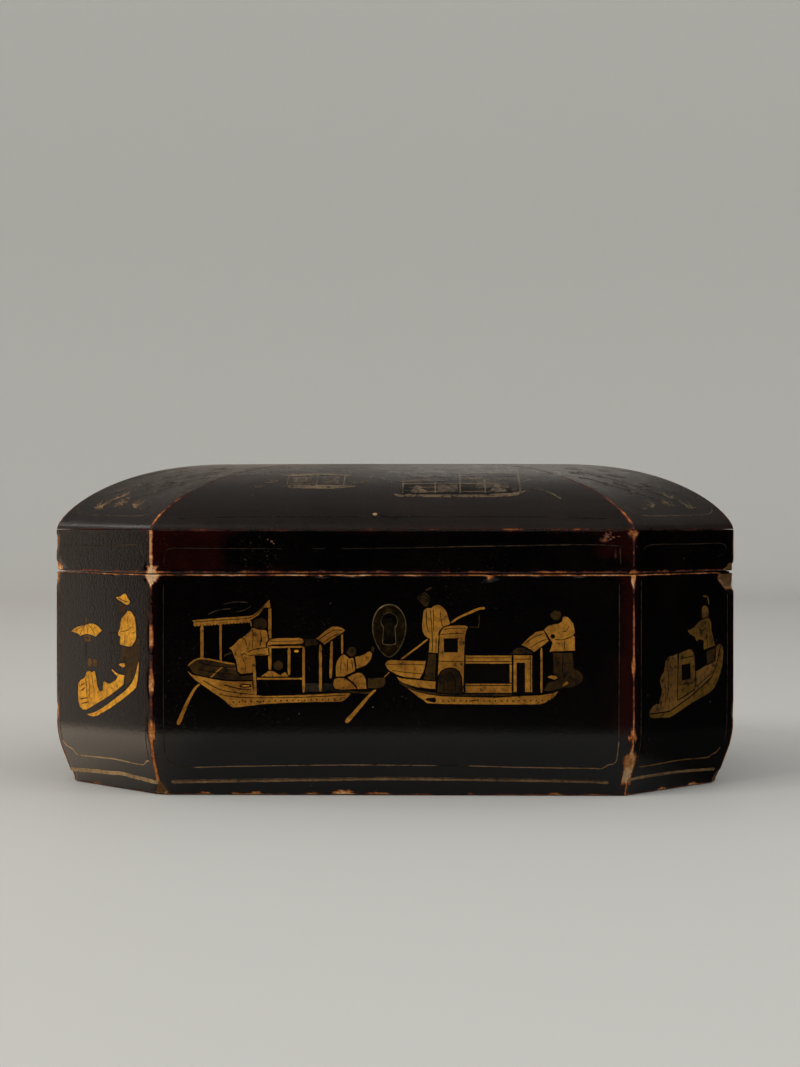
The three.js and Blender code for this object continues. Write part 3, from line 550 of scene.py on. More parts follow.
# Chips along the top and foot of a wall: side, u, v, half length, half height, depth.
wallEdgeChips = (
    (0, -28.0, 0.0, 1.5, 1.1, 0.30), (0, -15.5, 0.0, 3.0, 1.0, 0.30), (0, 38.2, 0.4, 2.2, 2.1, 0.45),
    (0, 73.0, 0.0, 1.6, 0.9, 0.30), (0, -62.0, 0.0, 1.4, 0.8, 0.20), (0, 9.0, 0.0, 2.4, 0.7, 0.20),
    (0, 56.0, 0.0, 1.8, 0.8, 0.20), (0, -74.5, 88.0, 3.0, 1.5, 0.35), (0, -63.0, 88.0, 1.4, 1.2, 0.30),
    (0, -54.0, 88.0, 3.4, 1.6, 0.35), (0, -31.5, 88.0, 2.0, 1.4, 0.30), (0, -19.0, 88.0, 6.4, 2.3, 0.50),
    (0, -6.0, 88.0, 5.6, 1.4, 0.35), (0, 31.0, 88.0, 2.2, 1.2, 0.25), (0, 64.0, 88.0, 3.2, 1.3, 0.30),
    (7, -14.0, 88.0, 3.0, 1.3, 0.30), (7, 9.0, 0.0, 2.6, 0.9, 0.25), (1, -6.0, 88.0, 3.4, 1.4, 0.35),
    (1, 14.0, 88.0, 4.0, 1.5, 0.35), (2, 22.0, 88.0, 5.0, 1.8, 0.40), (2, -30.0, 0.0, 2.4, 1.0, 0.30),
    (4, 40.0, 88.0, 7.0, 2.0, 0.45), (4, -36.0, 88.0, 4.0, 1.6, 0.40), (6, -18.0, 88.0, 5.5, 1.9, 0.40),
    (6, 33.0, 0.0, 2.0, 1.0, 0.30),
)
# For each corner: how wide and how bare its worn strip is on the body, and how bare it is on the rim.
stripWidths = (0.62, 0.75, 0.75, 0.75, 0.75, 0.75, 1.50, 1.15)
stripWears = (0.64, 0.50, 0.50, 0.50, 0.50, 0.50, 0.42, 0.50)
rimStripWears = (0.47, 0.62, 0.62, 0.62, 0.62, 0.62, 0.62, 0.93)


# 1 inside a chip's broken outline, falling to 0 just outside it.
def chipShare(across, upright, seed):
    ragged = 0.35 * roughly(across * 2.1 + seed, upright * 2.1, seed)
    ragged += 0.2 * roughly(across * 5, upright * 5 + seed, 2.0)
    return 1 - smooth(0.72, 1.05, math.hypot(across, upright) + ragged)


# Wear along an edge: full beside it, gone at a ragged distance. Each wave has height, frequency and seed.
def edgeWear(amount, width, waves, at, away, start=0.3, end=1.3):
    width *= 1 + sum(height * roughly(at * frequency, seed) for height, frequency, seed in waves)
    return amount * (1 - smooth(start * width, end * width, away))


# Depth, wear and bare wood of the chips at corner k.
def cornerChips(chips, k, near, at, seed, wearBase, wearGain):
    depth = wear = woody = 0.0
    for corner, chipAt, halfHeight, width, chipDepth in chips:
        if corner != k or abs(at - chipAt) >= halfHeight * 1.6 or near >= width * 1.6:
            continue
        share = chipShare(near / width, (at - chipAt) / halfHeight, corner * seed + chipAt)
        nearSeam = smooth(0, 3, at) if corner in (0, 7) else 1
        depth = max(depth, chipDepth * share * nearSeam)
        wear = max(wear, share * (wearBase + wearGain * chipDepth))
        if corner in (1, 2, 4) or chipAt > 70:
            woody = max(woody, share * (0.45 if corner == 0 else 1.0))
    return depth, wear, woody


# Chip depth in mm, wear, red rub and bare wood of a wall's outer face at u, v.
def wallWear(i, u, v):
    span = halfSpan(i, wallPoint(clamp(v, 0, wallLength))[0])
    k = i if u > 0 else (i - 1) % 8
    near = span - abs(u)
    foot = wallLength - v
    depth, wear, woody = cornerChips(wallCornerChips, k, near, v, 7.3, 0.72, 0.35)
    for side, chipU, chipV, halfLength, halfHeight, chipDepth in wallEdgeChips:
        if side == i and abs(u - chipU) < halfLength * 1.6 and abs(v - chipV) < halfHeight * 1.6:
            share = chipShare((u - chipU) / halfLength, (v - chipV) / halfHeight, chipU)
            depth = max(depth, chipDepth * share)
            wear = max(wear, share * (0.66 + 0.5 * chipDepth))
    if k == 7:
        funnel = near / (0.5 + 3.7 * clamp(1 - v / 4.2)) + 0.25 * roughly(near * 2.1, v * 1.9, 6.0)
        wear = max(wear, 1.02 * (1 - smooth(0.8, 1.1, funnel)) * (1 - smooth(4, 5.5, v)))
    bright = stripWears[k] + 0.2 * smooth(50, 62, v)
    bright += 0.2 * roughly(v * 0.09, 31 + k) + 0.16 * roughly(v * 0.6, 37 + k)
    topWear = 0.78 + 0.5 * roughly(u * 0.09, 3.3 + i) + 0.35 * roughly(u * 0.34, 6.1 + i)
    footWear = 0.60 + 0.3 * roughly(u * 0.08, 23 + i)
    wear = max(
        wear,
        edgeWear(bright, stripWidths[k], ((0.5, 0.11, k * 9.1), (0.45, 0.62, k * 4.7)), v, near, 0.35, 1.25),
        edgeWear(topWear, 0.54, ((0.5, 0.13, 5 + i), (0.45, 0.6, 8 + i)), u, v),
        edgeWear(footWear, 0.8, ((0.6, 0.12, 15 + i), (0.4, 0.5, 18 + i)), u, foot, 0.2),
    )
    rub = 0.5 * (1 - smooth(1.0, 5.5, near)) + 0.35 * (1 - smooth(0.5, 4.0, v)) + 0.3 * (1 - smooth(1, 7, foot))
    if i == 0 and u > 70:
        rub += 0.5 * smooth(87, 90, u) * (1 - smooth(62, 68, v))
        # The red tint up the middle height near the front's right end is a painted sheen.
        rub += 0.32 * smooth(76, 84, u) * smooth(26, 36, v) * (1 - smooth(58, 66, v))
    return depth, wear, clamp(rub), woody


# The same for a lid rim, rise mm above the lid's bottom edge.
def rimWear(i, u, rise):
    k = i if u > 0 else (i - 1) % 8
    near = halfLengths[i % 4] - abs(u)
    below = rims["height"] - rise
    depth, wear, woody = cornerChips(rimCornerChips, k, near, rise, 5.1, 0.62, 0.5)
    bare = rimStripWears[k] + 0.24 * roughly(rise * 0.3, 41 + k)
    # Wear along the rim's low edge. It fades out on the downward rounding at the very bottom, which is painted shade.
    lowEdgeWearAndShade = (0.58 + 0.3 * roughly(u * 0.07, 57 + i)) * smooth(0.02, 0.45, rise)
    creaseWear = 0.41 + 0.12 * roughly(u * 0.1, 64 + i)
    wear = max(
        wear,
        edgeWear(bare, 1.25 if k == 7 else 0.85, ((0.5, 0.3, k * 3.1), (0.3, 1.1, k * 2.3)), rise, near),
        edgeWear(lowEdgeWearAndShade, 1.45, ((0.5, 0.10, 51 + i), (0.5, 0.45, 54 + i)), u, rise, 0.3, 1.25),
        edgeWear(creaseWear, 0.5, ((0.6, 0.2, 61 + i),), u, below),
    )
    rub = 0.45 * (1 - smooth(0.8, 5, near)) + 0.35 * (1 - smooth(1, 4, rise)) + 0.3 * (1 - smooth(0.5, 3, below))
    if i == 0:
        # a flaked patch near the right corner and a thinner one below it
        patch = 1 - smooth(0.45, 1.15, math.hypot((u - 83.8) / 5.2, (rise - 14.2) / 2.9))
        trail = 1 - smooth(0.4, 1.1, math.hypot((u - 87.0) / 1.8, (rise - 8.5) / 4.5))
        flaked = 0.40 + 0.5 * roughly(u * 1.1, rise * 1.5, 4.0)
        wear = max(wear, flaked * patch, 1.05 * flaked * trail)
        rub += 0.75 * (1 - smooth(-72, -56, u)) * smooth(0.5, 3, rise)
        rub += 0.75 * smooth(74, 86, u) * smooth(3, 9, rise)
    rub += 0.2 * smooth(0.1, 0.6, roughly(u * 0.03, rise * 0.1, i))
    return depth, wear, clamp(rub), woody


# The same for the dome over side i. Its hips are rubbed to the red coat.
def staveWear(i, across, share):
    length = domeLine(i, share)[2]
    near = min(across, 1 - across) * length
    k = i if across > 0.5 else (i - 1) % 8
    run = share * 110
    rise = domeHeight(share) - domeBase
    hip = 0.46 + 0.14 * roughly(run * 0.07, 71 + k) + 0.28 * roughly(run * 0.6, 77 + k)
    hip += 0.13 * (1 - smooth(0.04, 0.24, share))
    crease = 0.44 + (0.09 * smooth(0.4, 0.7, across) if i == 0 else 0)
    crease += 0.09 * roughly(across * length * 0.15, 85 + i)
    wear = max(
        edgeWear(hip, 1.0 - 0.35 * share, ((0.5, 0.12, k * 6.1), (0.3, 0.5, k * 2.9)), run, near, 0.35),
        edgeWear(crease, 0.55, ((0.5, 0.2, 81 + i),), across * length, rise, 0.3, 1.4),
    )
    rub = 0.55 * (1 - smooth(0.8, 5.5, near)) + 0.3 * (1 - smooth(0.5, 4, rise))
    rub += 0.25 * smooth(0.05, 0.6, roughly(across * length * 0.025, run * 0.03, 3.0 + i))
    if i == 0:
        rub += 0.4 * smooth(0.42, 0.55, across) * (1 - smooth(0.68, 0.8, across)) * (1 - smooth(0.2, 0.5, share))
    return 0.0, wear, clamp(rub), 0.0


# The outward direction at u, turned to halfway to the next side at the mitre.
def edgeTurn(i, u, near):
    k = i if u > 0 else i - 1
    bisector = (outward(k) + outward(k + 1)).normalized()
    return outward(i).lerp(bisector, 1 - smooth(0, 2.6, near)).normalized()


def arrisSink(near):
    return arris["depth"] * clamp((arris["touch"] - near) / arris["touch"]) ** 2


# A ring of points along side i at one height of its face, sunk where wear has taken the surface off.
def wornRing(i, row, wearAt, low, high, depthShare=1.0):
    at, inset, z, normalOut, normalUp = row
    span = halfSpan(i, inset)
    ring = []
    for distance in columnPlaces(2 * span, columnCounts["wall"][i % 4]):
        u = distance - span
        near = span - abs(u)
        depth = (wearAt(i, u, at)[0] + arrisSink(near)) * depthShare
        point = place(i, u, inset, z) - tiltedOut(edgeTurn(i, u, near), normalOut, normalUp) * depth
        point.z = clamp(point.z, low, high)
        ring.append(point)
    return ring


def plainRing(i, inset, z):
    span = halfSpan(i, inset)
    return [place(i, distance - span, inset, z) for distance in columnPlaces(2 * span, columnCounts["wall"][i % 4])]


# A solid skin over rings of one point count each, with capped ends of bare wood.
# kinds gives the band after each ring: 0 outer lacquer, 1 inner lacquer, 2 wood.
def closedBoard(name, rings, kinds, outer=lacquer):
    rows = len(rings)
    columns = len(rings[0])
    faces = []
    for r in range(rows):
        faces += bandFaces(r * columns, (r + 1) % rows * columns, columns, closed=False)
    faces.append(tuple(r * columns for r in range(rows)))
    faces.append(tuple(r * columns + columns - 1 for r in reversed(range(rows))))
    faceKinds = [kind for kind in kinds for c in range(columns - 1)] + [2, 2]
    vertices = [point for ring in rings for point in ring]

    def close(bm):
        bmesh.ops.triangulate(bm, faces=[f for f in bm.faces if len(f.verts) > 4])
        faceOutwards(bm)
        if bm.calc_volume(signed=True) < 0:
            bmesh.ops.reverse_faces(bm, faces=bm.faces)

    return reshape(newObject(name, vertices, faces, (outer, innerLacquer, wood), faceKinds), close)


# Rows down a wall's outer face from its top: v, inset, height and the normal's two parts.
def wallRows():
    rounding = walls["rounding"]
    rows = [(0.0, 1.1, bodyHeight, 0.0, 1.0), (0.02, rounding, bodyHeight, 0.35, 0.93)]
    for angle in (60, 30):
        c, s = math.cos(math.radians(angle)), math.sin(math.radians(angle))
        rows.append((rounding * (1 - s) * 0.9 + 0.02, rounding * (1 - c), bodyHeight - rounding * (1 - s), c, s))
    steps = (0.25, 0.3, 0.35, 0.45, 0.6, 0.8, 1.1, 1.5, 2.1, 3.0)
    distances = [rounding + sum(steps[:k]) for k in range(len(steps))]
    start = rounding + sum(steps)
    middle = wallLength - rounding - sum(steps) - start
    count = int(middle / 2.6)
    distances += [start + middle * k / count for k in range(count)]
    distances += [start + middle + sum(reversed(steps[len(steps) - k:])) for k in range(len(steps) + 1)]
    rows += [(v, *wallPoint(v)) for v in distances]
    rows.append((wallLength - 0.05, wallPoint(wallLength - 0.15)[0] + 0.12, 0.06, 0.6, -0.8))
    rows.append((wallLength, walls["footInset"] + 0.6, 0.0, 0.2, -0.97))
    return rows


def makeWall(i):
    rings = []
    for row in wallRows():
        nearEnd = row[0] < 0.3 or row[0] > wallLength - 0.3
        rings.append(wornRing(i, row, wallWear, 0, bodyHeight, 0.6 if nearEnd else 1.0))
    kinds = [0] * (len(rings) - 1) + [2]
    floor, low, high = walls["groove"]
    insets = (wallThickness, wallThickness, floor, floor, wallThickness, wallThickness)
    heights = (0.0, low, low, high, high, bodyHeight)
    rings += [plainRing(i, inset, z) for inset, z in zip(insets, heights)]
    return closedBoard(f"{sideNames[i]}_wall_dressed", rings, kinds + [1] * 5 + [0])


def makeRim(i):
    rises = (0.5, 0.75, 1.1, 1.5, 2.0, 2.7, 3.6, 4.8, 6.4, 8.2, 10.0, 11.8, 13.2, 14.4, 15.2, 15.8, 16.2, 16.5, 16.75)
    rows = [(0.0, 1.1, 0.0, 0.0, -1.0), (0.0, 0.5, 0.0, 0.2, -0.98)]
    rows += [(0.03, 0.25, 0.07, 0.5, -0.87), (0.1, 0.07, 0.25, 0.87, -0.5)]
    rows += [(rise, 0.0, rise, 1.0, 0.0) for rise in rises]
    rows += [(16.9, 0.05, 16.92, 0.8, 0.6), (17.0, 0.25, 17.0, 0.3, 0.95)]
    top = lidBottom + rims["height"]
    rows = [(rise, inset, lidBottom + height, out, up) for rise, inset, height, out, up in rows]
    rings = [wornRing(i, row, rimWear, lidBottom, top) for row in rows]
    kinds = [0] * len(rings) + [1, 0]
    rings += [plainRing(i, wallThickness, z) for z in (top, lidBottom)]
    return closedBoard(f"lid_{sideNames[i]}_rim_dressed", rings, kinds)


def domeRing(i, share, middleCount):
    left, right, length = domeLine(i, share)
    normalShare = max(share, 0.002)
    ring = []
    for distance in columnPlaces(length, middleCount):
        across = clamp(distance / length) if length > 1e-6 else 0.5
        near = min(distance, length - distance)
        point = left.lerp(right, across)
        sink = arrisSink(near) + (0.1 if share < 0.004 else 0)
        if sink > 0 and length > 1:
            k = i if across > 0.5 else i - 1
            onHip = (domeNormal(k, 0.999, normalShare) + domeNormal(k + 1, 0.001, normalShare)).normalized()
            normal = domeNormal(i, across, normalShare).lerp(onHip, 1 - smooth(0, 2.6, near))
            point = point - normal.normalized() * sink
            point.z = max(point.z, domeBase)
        ring.append(point)
    return ring


# Where a hip of the underside starts, as a share of the hip's way to the ridge.
def innerFootShare(i):
    run = hipPoint(i, 1) - hipPoint(i, 0)
    run.z = 0
    return wallThickness / abs(run.dot(outward(i if i % 2 else i + 1)))


def makeStave(i):
    middleCount = columnCounts["stave"][i % 4]
    outerSteps, innerSteps = 34, 12
    rings = [domeRing(i, dome["crownShare"] * (k / outerSteps) ** 2, middleCount) for k in range(outerSteps + 1)]
    for k in reversed(range(innerSteps + 1)):
        share = (k / innerSteps) ** 2
        rise = (1 - (1 - share) ** dome["hollow"]) ** (1 / dome["hollowShoulder"])
        ends = []
        for corner in (i - 1, i):
            foot = innerFootShare(corner % 8)
            end = hipPoint(corner, foot + (dome["crownShare"] - foot) * share)
            end.z = domeBase + (crownUnderside - domeBase) * rise
            ends.append(end)
        length = (ends[1] - ends[0]).length
        rings.append([ends[0].lerp(ends[1], distance / length) for distance in columnPlaces(length, middleCount)])
    kinds = [0] * outerSteps + [2] + [1] * innerSteps + [2]
    return closedBoard(f"lid_{sideNames[i]}_stave_dressed", rings, kinds, domeLacquer)


# The crown board: its top runs on from the eight staves to the ridge, its underside is flat.
def makeCrown():
    steps = 26
    vertices = []
    faces = []
    kinds = []
    for i in range(8):
        start = len(vertices)
        shares = [dome["crownShare"] + (0.9995 - dome["crownShare"]) * k / steps for k in range(steps + 1)]
        rings = [domeRing(i, share, columnCounts["crown"][i % 4]) for share in shares]
        rings.insert(0, [Vector((p.x, p.y, crownUnderside)) for p in rings[0]])
        columns = len(rings[0])
        vertices += [point for ring in rings for point in ring]
        for r in range(steps + 1):
            faces += bandFaces(start + r * columns, start + (r + 1) * columns, columns, closed=False)
            kinds += [0 if r else 2] * (columns - 1)
        faces += [(start + c + 1, start + c, len(vertices)) for c in range(columns - 1)]
        kinds += [1] * (columns - 1)
        vertices.append(Vector((0, 0, crownUnderside)))

    def join(bm):
        bmesh.ops.remove_doubles(bm, verts=bm.verts, dist=0.00002)
        bmesh.ops.dissolve_degenerate(bm, edges=bm.edges, dist=0.000005)
        bmesh.ops.holes_fill(bm, edges=[e for e in bm.edges if e.is_boundary], sides=0)
        faceOutwards(bm)

    return reshape(newObject("lid_crown_dressed", vertices, faces, (domeLacquer, innerLacquer, wood), kinds), join)


def boxCutter(low, high):
    corners = [(x, y, z) for x in (low[0], high[0]) for y in (low[1], high[1]) for z in (low[2], high[2])]
    sides = [(0, 1, 3, 2), (4, 6, 7, 5), (0, 4, 5, 1), (2, 3, 7, 6), (0, 2, 6, 4), (1, 5, 7, 3)]
    return reshape(newObject("cutter", corners, sides, []), faceOutwards)


# An outline in X and Z run along Y, or one in Y and Z run along X.
def prismCutter(outline, start, end, alongX=False):
    count = len(outline)
    vertices = [(at, a, b) if alongX else (a, at, b) for at in (start, end) for a, b in outline]
    faces = [tuple(range(count)), tuple(range(2 * count - 1, count - 1, -1))] + bandFaces(0, count, count)
    return reshape(newObject("cutter", vertices, faces, []), faceOutwards)


def cutAll(piece, tools):
    for tool in tools:
        modifier = piece.modifiers.new("cut", "BOOLEAN")
        modifier.operation = "DIFFERENCE"
        modifier.solver = "EXACT"
        modifier.object = tool
    bpy.context.view_layer.update()
    graph = bpy.context.evaluated_depsgraph_get()
    mesh = bpy.data.meshes.new_from_object(piece.evaluated_get(graph))
    piece.modifiers.clear()
    old = piece.data
    piece.data = mesh
    bpy.data.meshes.remove(old)
    for tool in tools:
        bpy.data.objects.remove(tool)


# Writes wear, rub and bare wood at each vertex. field gives them for a point of side i in mm.
def paintWear(piece, i, field):
    values = []
    for vertex in piece.data.vertices:
        point = vertex.co / mm
        u = point.dot(along(i)) - middleShifts[i % 4]
        values.append(field(i, point, u, reaches[i % 4] - point.dot(outward(i))))
    for number, name in enumerate(("wear", "rub", "wood")):
        writeValues(piece, name, [value[number] for value in values])


# The narrow face where lid and body meet, and the ring that ends it. A chip moves that ring up or down only.
def onSeam(inset, off):
    return off < 0.02 and inset > 0.8 or off < 0.9 and abs(inset - 1.1) < 0.03


def wallField(i, point, u, inset):
    v = wallDistance(clamp(point.z, 0, bodyHeight))
    if inset > wallPoint(min(v, wallLength))[0] + 2.2 or onSeam(inset, bodyHeight - point.z):
        return 0.0, 0.3, 0.0
    return wallWear(i, u, v)[1:]


def rimField(i, point, u, inset):
    rise = point.z - lidBottom
    return (0.0, 0.3, 0.0) if inset > 2.2 or onSeam(inset, rise) else rimWear(i, u, rise)[1:]


# The wear at a point of the dome, from the nearest of the given sides.
def domeWearAt(sides, point, insideRub):
    part = clamp((point.z - domeBase) / (domeTop - domeBase))
    share = 1 - (1 - part ** dome["shoulder"]) ** (1 / dome["fullness"])
    found = []
    for i in sides:
        left, right, length = domeLine(i, share)
        if length > 1e-3:
            across = clamp((point - left).dot(right - left) / length**2)
            found.append(((point - left.lerp(right, across)).length, i, across))
    off, i, across = min(found)
    return (0.0, insideRub, 0.0) if off > 1.5 else staveWear(i, across, share)[1:]


def staveField(i, point, u, inset):
    return domeWearAt((i,), point, 0.3)


def crownField(i, point, u, inset):
    return domeWearAt(range(8), point, 0.2)


# The lock's middle is a little left of the front's middle. Pocket sizes are width, depth and height.
lock = {"x": -1.0, "keyholeDrop": 18.1, "gap": 0.3, "pockets": ((58, 1.4, 34), (58, 8.4, 1.4), (44, 8.4, 30.5))}
keyPlate = {"half": 6.75, "up": 8.8, "down": 12.1, "drop": 2.1, "face": -105.37}
keyhole = {"radius": 3.1, "neck": 2.05, "skirt": 2.5, "foot": -9.2}
innerFaceY = -(halfDepth - wallThickness)
keyholeZ = bodyHeight - lock["keyholeDrop"]


# The keyhole plate's egg-shaped outline round its widest line, in X and Z.
def keyPlateOutline(grown=0.0, steps=14):
    half, up, down = (keyPlate[name] + grown for name in ("half", "up", "down"))
    bends = (
        ((half, 0), (half, up * 0.56), (half * 0.56, up), (0, up)),
        ((0, up), (-half * 0.56, up), (-half, up * 0.56), (-half, 0)),
        ((-half, 0), (-half, -down * 0.48), (-half * 0.42, -down), (0, -down)),
        ((0, -down), (half * 0.42, -down), (half, -down * 0.48), (half, 0)),
    )
    points = []
    for bend in bends:
        for k in range(steps):
            t = k / steps
            weights = ((1 - t) ** 3, 3 * t * (1 - t) ** 2, 3 * t * t * (1 - t), t**3)
            x, z = (sum(w * p[axis] for w, p in zip(weights, bend)) for axis in (0, 1))
            points.append((lock["x"] + x, keyholeZ - keyPlate["drop"] + z))
    return points


def keyholeOutline(grown=0.0, steps=28):
    radius, neck, skirt = (keyhole[name] + grown for name in ("radius", "neck", "skirt"))
    foot = keyhole["foot"] - grown
    start = math.asin(neck / radius)
    first, last = start - math.pi / 2, 1.5 * math.pi - start
    points = [onCircle((lock["x"], keyholeZ), radius, first + (last - first) * k / steps) for k in range(steps + 1)]
    for k in range(7):
        t = k / 6
        z = (foot + 0.5) * ((1 - t) ** 2 + t * t) + (foot - 0.5) * 2 * t * (1 - t)
        points.append((lock["x"] + skirt * (t * t - (1 - t) ** 2), keyholeZ + z))
    return points


def lockCutters():
    gap = lock["gap"]
    tools = []
    for width, depth, height in lock["pockets"]:
        half = width / 2 + gap
        low = (lock["x"] - half, innerFaceY - depth - gap, bodyHeight - height - gap)
        tools.append(boxCutter(low, (lock["x"] + half, innerFaceY + 1, bodyHeight + 1)))
    tools.append(prismCutter(keyPlateOutline(0.15), -halfDepth - 1, -halfDepth + 0.95))
    tools.append(prismCutter(keyholeOutline(), -halfDepth - 1, -halfDepth + 10))
    return tools


# The pocket over the lock's link plate in the lid's front rim.
def linkCutters():
    half = 26.3
    low = (lock["x"] - half, innerFaceY - 8.7, lidBottom - 1)
    return [boxCutter(low, (lock["x"] + half, innerFaceY - 0.9, lidBottom + 1.6))]


# The bevel and the hinge pockets: side -1 for the body's walls and 1 for the lid's rims.
def backCutters(side):
    axisY, axisZ, half = hinges["axisY"], hinges["axisZ"], hinges["halfPocket"]
    reach = 3.2 + 1
    drop = reach * math.tan(math.radians(hinges["open"] / 2))
    face = side * 0.2
    wedge = [(0, face), (reach, face + side * drop), (reach, -side * 0.5), (0, -side * 0.5)]
    tools = [prismCutter([(axisY + y, axisZ + z) for y, z in wedge], -halfWidth, halfWidth, alongX=True)]
    barrel = [onCircle((axisY, axisZ), hinges["barrel"], 2 * math.pi * k / 28) for k in range(28)]
    low, high = sorted((axisZ + side * 1.6, axisZ - side * 1))
    for x in (-hinges["x"], hinges["x"]):
        tools.append(boxCutter((x - half, axisY - 6.7, low), (x + half, axisY + 0.01, high)))
        tools.append(prismCutter(barrel, x - half, x + half, alongX=True))
    return tools


# Cuts, paints and smooths a board and puts it in its solid's place.
def dress(piece, body, name, i, field, tools=()):
    if tools:
        cutAll(piece, tools)
    paintWear(piece, i, field)
    smoothByAngle(piece)
    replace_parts(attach(piece, body), name)


print("helpers ready")
for i, name in enumerate(sideNames):
    back = name.startswith("back")
    wallTools = lockCutters() if i == 0 else backCutters(-1) if back else ()
    dress(makeWall(i), "chest_body", f"{name}_wall", i, wallField, wallTools)
    rimTools = linkCutters() if i == 0 else backCutters(1) if back else ()
    dress(makeRim(i), "lid", f"lid_{name}_rim", i, rimField, rimTools)
    dress(makeStave(i), "lid", f"lid_{name}_stave", i, staveField)
dress(makeCrown(), "lid", "lid_crown_board", 0, crownField)
print("boards made")

# Gold drawing. An outline is drawn flat in mm, then laid on its face as a thin raised skin.
# On a wall the second number runs down from the wall's top, on a rim and on the dome it runs up.
# A point's lift over the lacquer: of a skin's sunk edge, of the lowest skin, and from one skin to the next.
skin = {"root": -0.02, "lowest": 0.045, "step": 0.005}
arcStep = 0.5


# The share of the way to the ridge at every half mm up the dome's face over a side.
def domeArcTable(i):
    inward = (halfDepth, 88.0, halfWidth - dome["sideRidgeHalf"], 88.0)[i]
    step = 0.002
    total = share = 0.0
    table = []
    for k in range(200):
        while total < k * arcStep and share < 1:
            total += math.hypot(domeHeight(share + step) - domeHeight(share), inward * step)
            share += step
        table.append(min(share, 1.0))
    return table


arcTables = [domeArcTable(i) for i in range(4)]


def domeShareFor(i, arc):
    table = arcTables[i % 4]
    position = clamp(arc / arcStep, 0, len(table) - 1.001)
    low = int(position)
    return table[low] + (table[low + 1] - table[low]) * (position - low)


def onFace(face, x, y, lift):
    zone, i = face
    if zone == "wall":
        inset, z, normalOut, normalUp = wallPoint(clamp(y, 0, wallLength))
        return place(i, x, inset, z) + tiltedOut(outward(i), normalOut, normalUp) * lift
    if zone == "rim":
        return place(i, x, 0, lidBottom + y) + outward(i) * lift
    share = domeShareFor(i, y)
    left, right, length = domeLine(i, share)
    across = 0.5 + x / max(length, 1)
    return left.lerp(right, across) + domeNormal(i, across, max(share, 0.01)) * lift


# A smooth curve through the points.
def curveThrough(points, closed, pieces):
    count = len(points)
    result = []
    for k in range(count if closed else count - 1):
        around = [(k + j) % count if closed else clamp(k + j, 0, count - 1) for j in (-1, 0, 1, 2)]
        axes = list(zip(*(points[n] for n in around)))
        for t in (n / pieces for n in range(pieces)):
            result.append(
                tuple(
                    0.5 * (2 * b + (c - a) * t + (2 * a - 5 * b + 4 * c - d) * t * t + (3 * b - a - 3 * c + d) * t**3)
                    for a, b, c, d in axes
                )
            )
    return result if closed else result + [points[-1]]


def resampled(points, closed, longest):
    result = []
    for a, b in zip(points, points[1:] + points[:1] if closed else points[1:]):
        pieces = max(1, math.ceil(math.dist(a, b) / longest))
        result += [(a[0] + (b[0] - a[0]) * n / pieces, a[1] + (b[1] - a[1]) * n / pieces) for n in range(pieces)]
    return result if closed else result + [points[-1]]


def handDrawn(points, amount, seed):
    shift = [[amount * roughly(x * 0.9, y * 0.9, seed + more) for more in (0, 9)] for x, y in points]
    return [(x + dx, y + dy) for (x, y), (dx, dy) in zip(points, shift)]


def pairs(numbers):
    return list(zip(numbers[::2], numbers[1::2]))


# A filled shape from x and y of each of its points.
def fill(tone, *numbers, rounded=False):
    return [("fill", tone, pairs(numbers), rounded)]


# Brush strokes of one tone and width, each from x and y of its points.
def stroke(tone, width, *paths, tip=None, rounded=True):
    return [("stroke", tone, pairs(path), (width, tip or width, rounded)) for path in paths]


def oval(tone, x, y, rx, ry):
    points = [(x + rx * math.cos(math.radians(a)), y + ry * math.sin(math.radians(a))) for a in range(0, 360, 30)]
    return [("fill", tone, points, True)]


# A row of small round dots.
def dots(tone, start, end, count, radius):
    result = []
    for t in (k / (count - 1) for k in range(count)):
        x, y = (a + (b - a) * t for a, b in zip(start, end))
        result += oval(tone, x, y, radius, radius)
    return result


# The skin of a brush stroke, which swells and thins a little on its way: places with their lift, and faces.
def strokeSkin(points, lift, number, width, tip, rounded):
    path = curveThrough(points, False, 3) if rounded and len(points) > 2 else points
    path = handDrawn(resampled(path, False, 1.6), 0.07, number)
    last = len(path) - 1
    places = []
    for k, (x, y) in enumerate(path):
        ahead, behind = path[min(k + 1, last)], path[max(k - 1, 0)]
        dx, dy = ahead[0] - behind[0], ahead[1] - behind[1]
        length = math.hypot(dx, dy) or 1
        half = 0.5 * (width + (tip - width) * k / max(last, 1)) * (1 + 0.22 * roughly(x * 0.45, y * 0.45, number))
        if k in (0, last):
            half *= 0.55
        left = (x - dy / length * half, y + dx / length * half)
        right = (x + dy / length * half, y - dx / length * half)
        places += [(*left, skin["root"]), (*left, lift), (*right, lift), (*right, skin["root"])]
    faces = [(a, a + 1, a + 5, a + 4) for k in range(last) for a in range(4 * k, 4 * k + 3)]
    return places, faces


def insideOutline(x, y, outline):
    inside = False
    for (x0, y0), (x1, y1) in zip(outline, outline[1:] + outline[:1]):
        if (y0 > y) != (y1 > y) and x < (x1 - x0) * (y - y0) / (y1 - y0) + x0:
            inside = not inside
    return inside


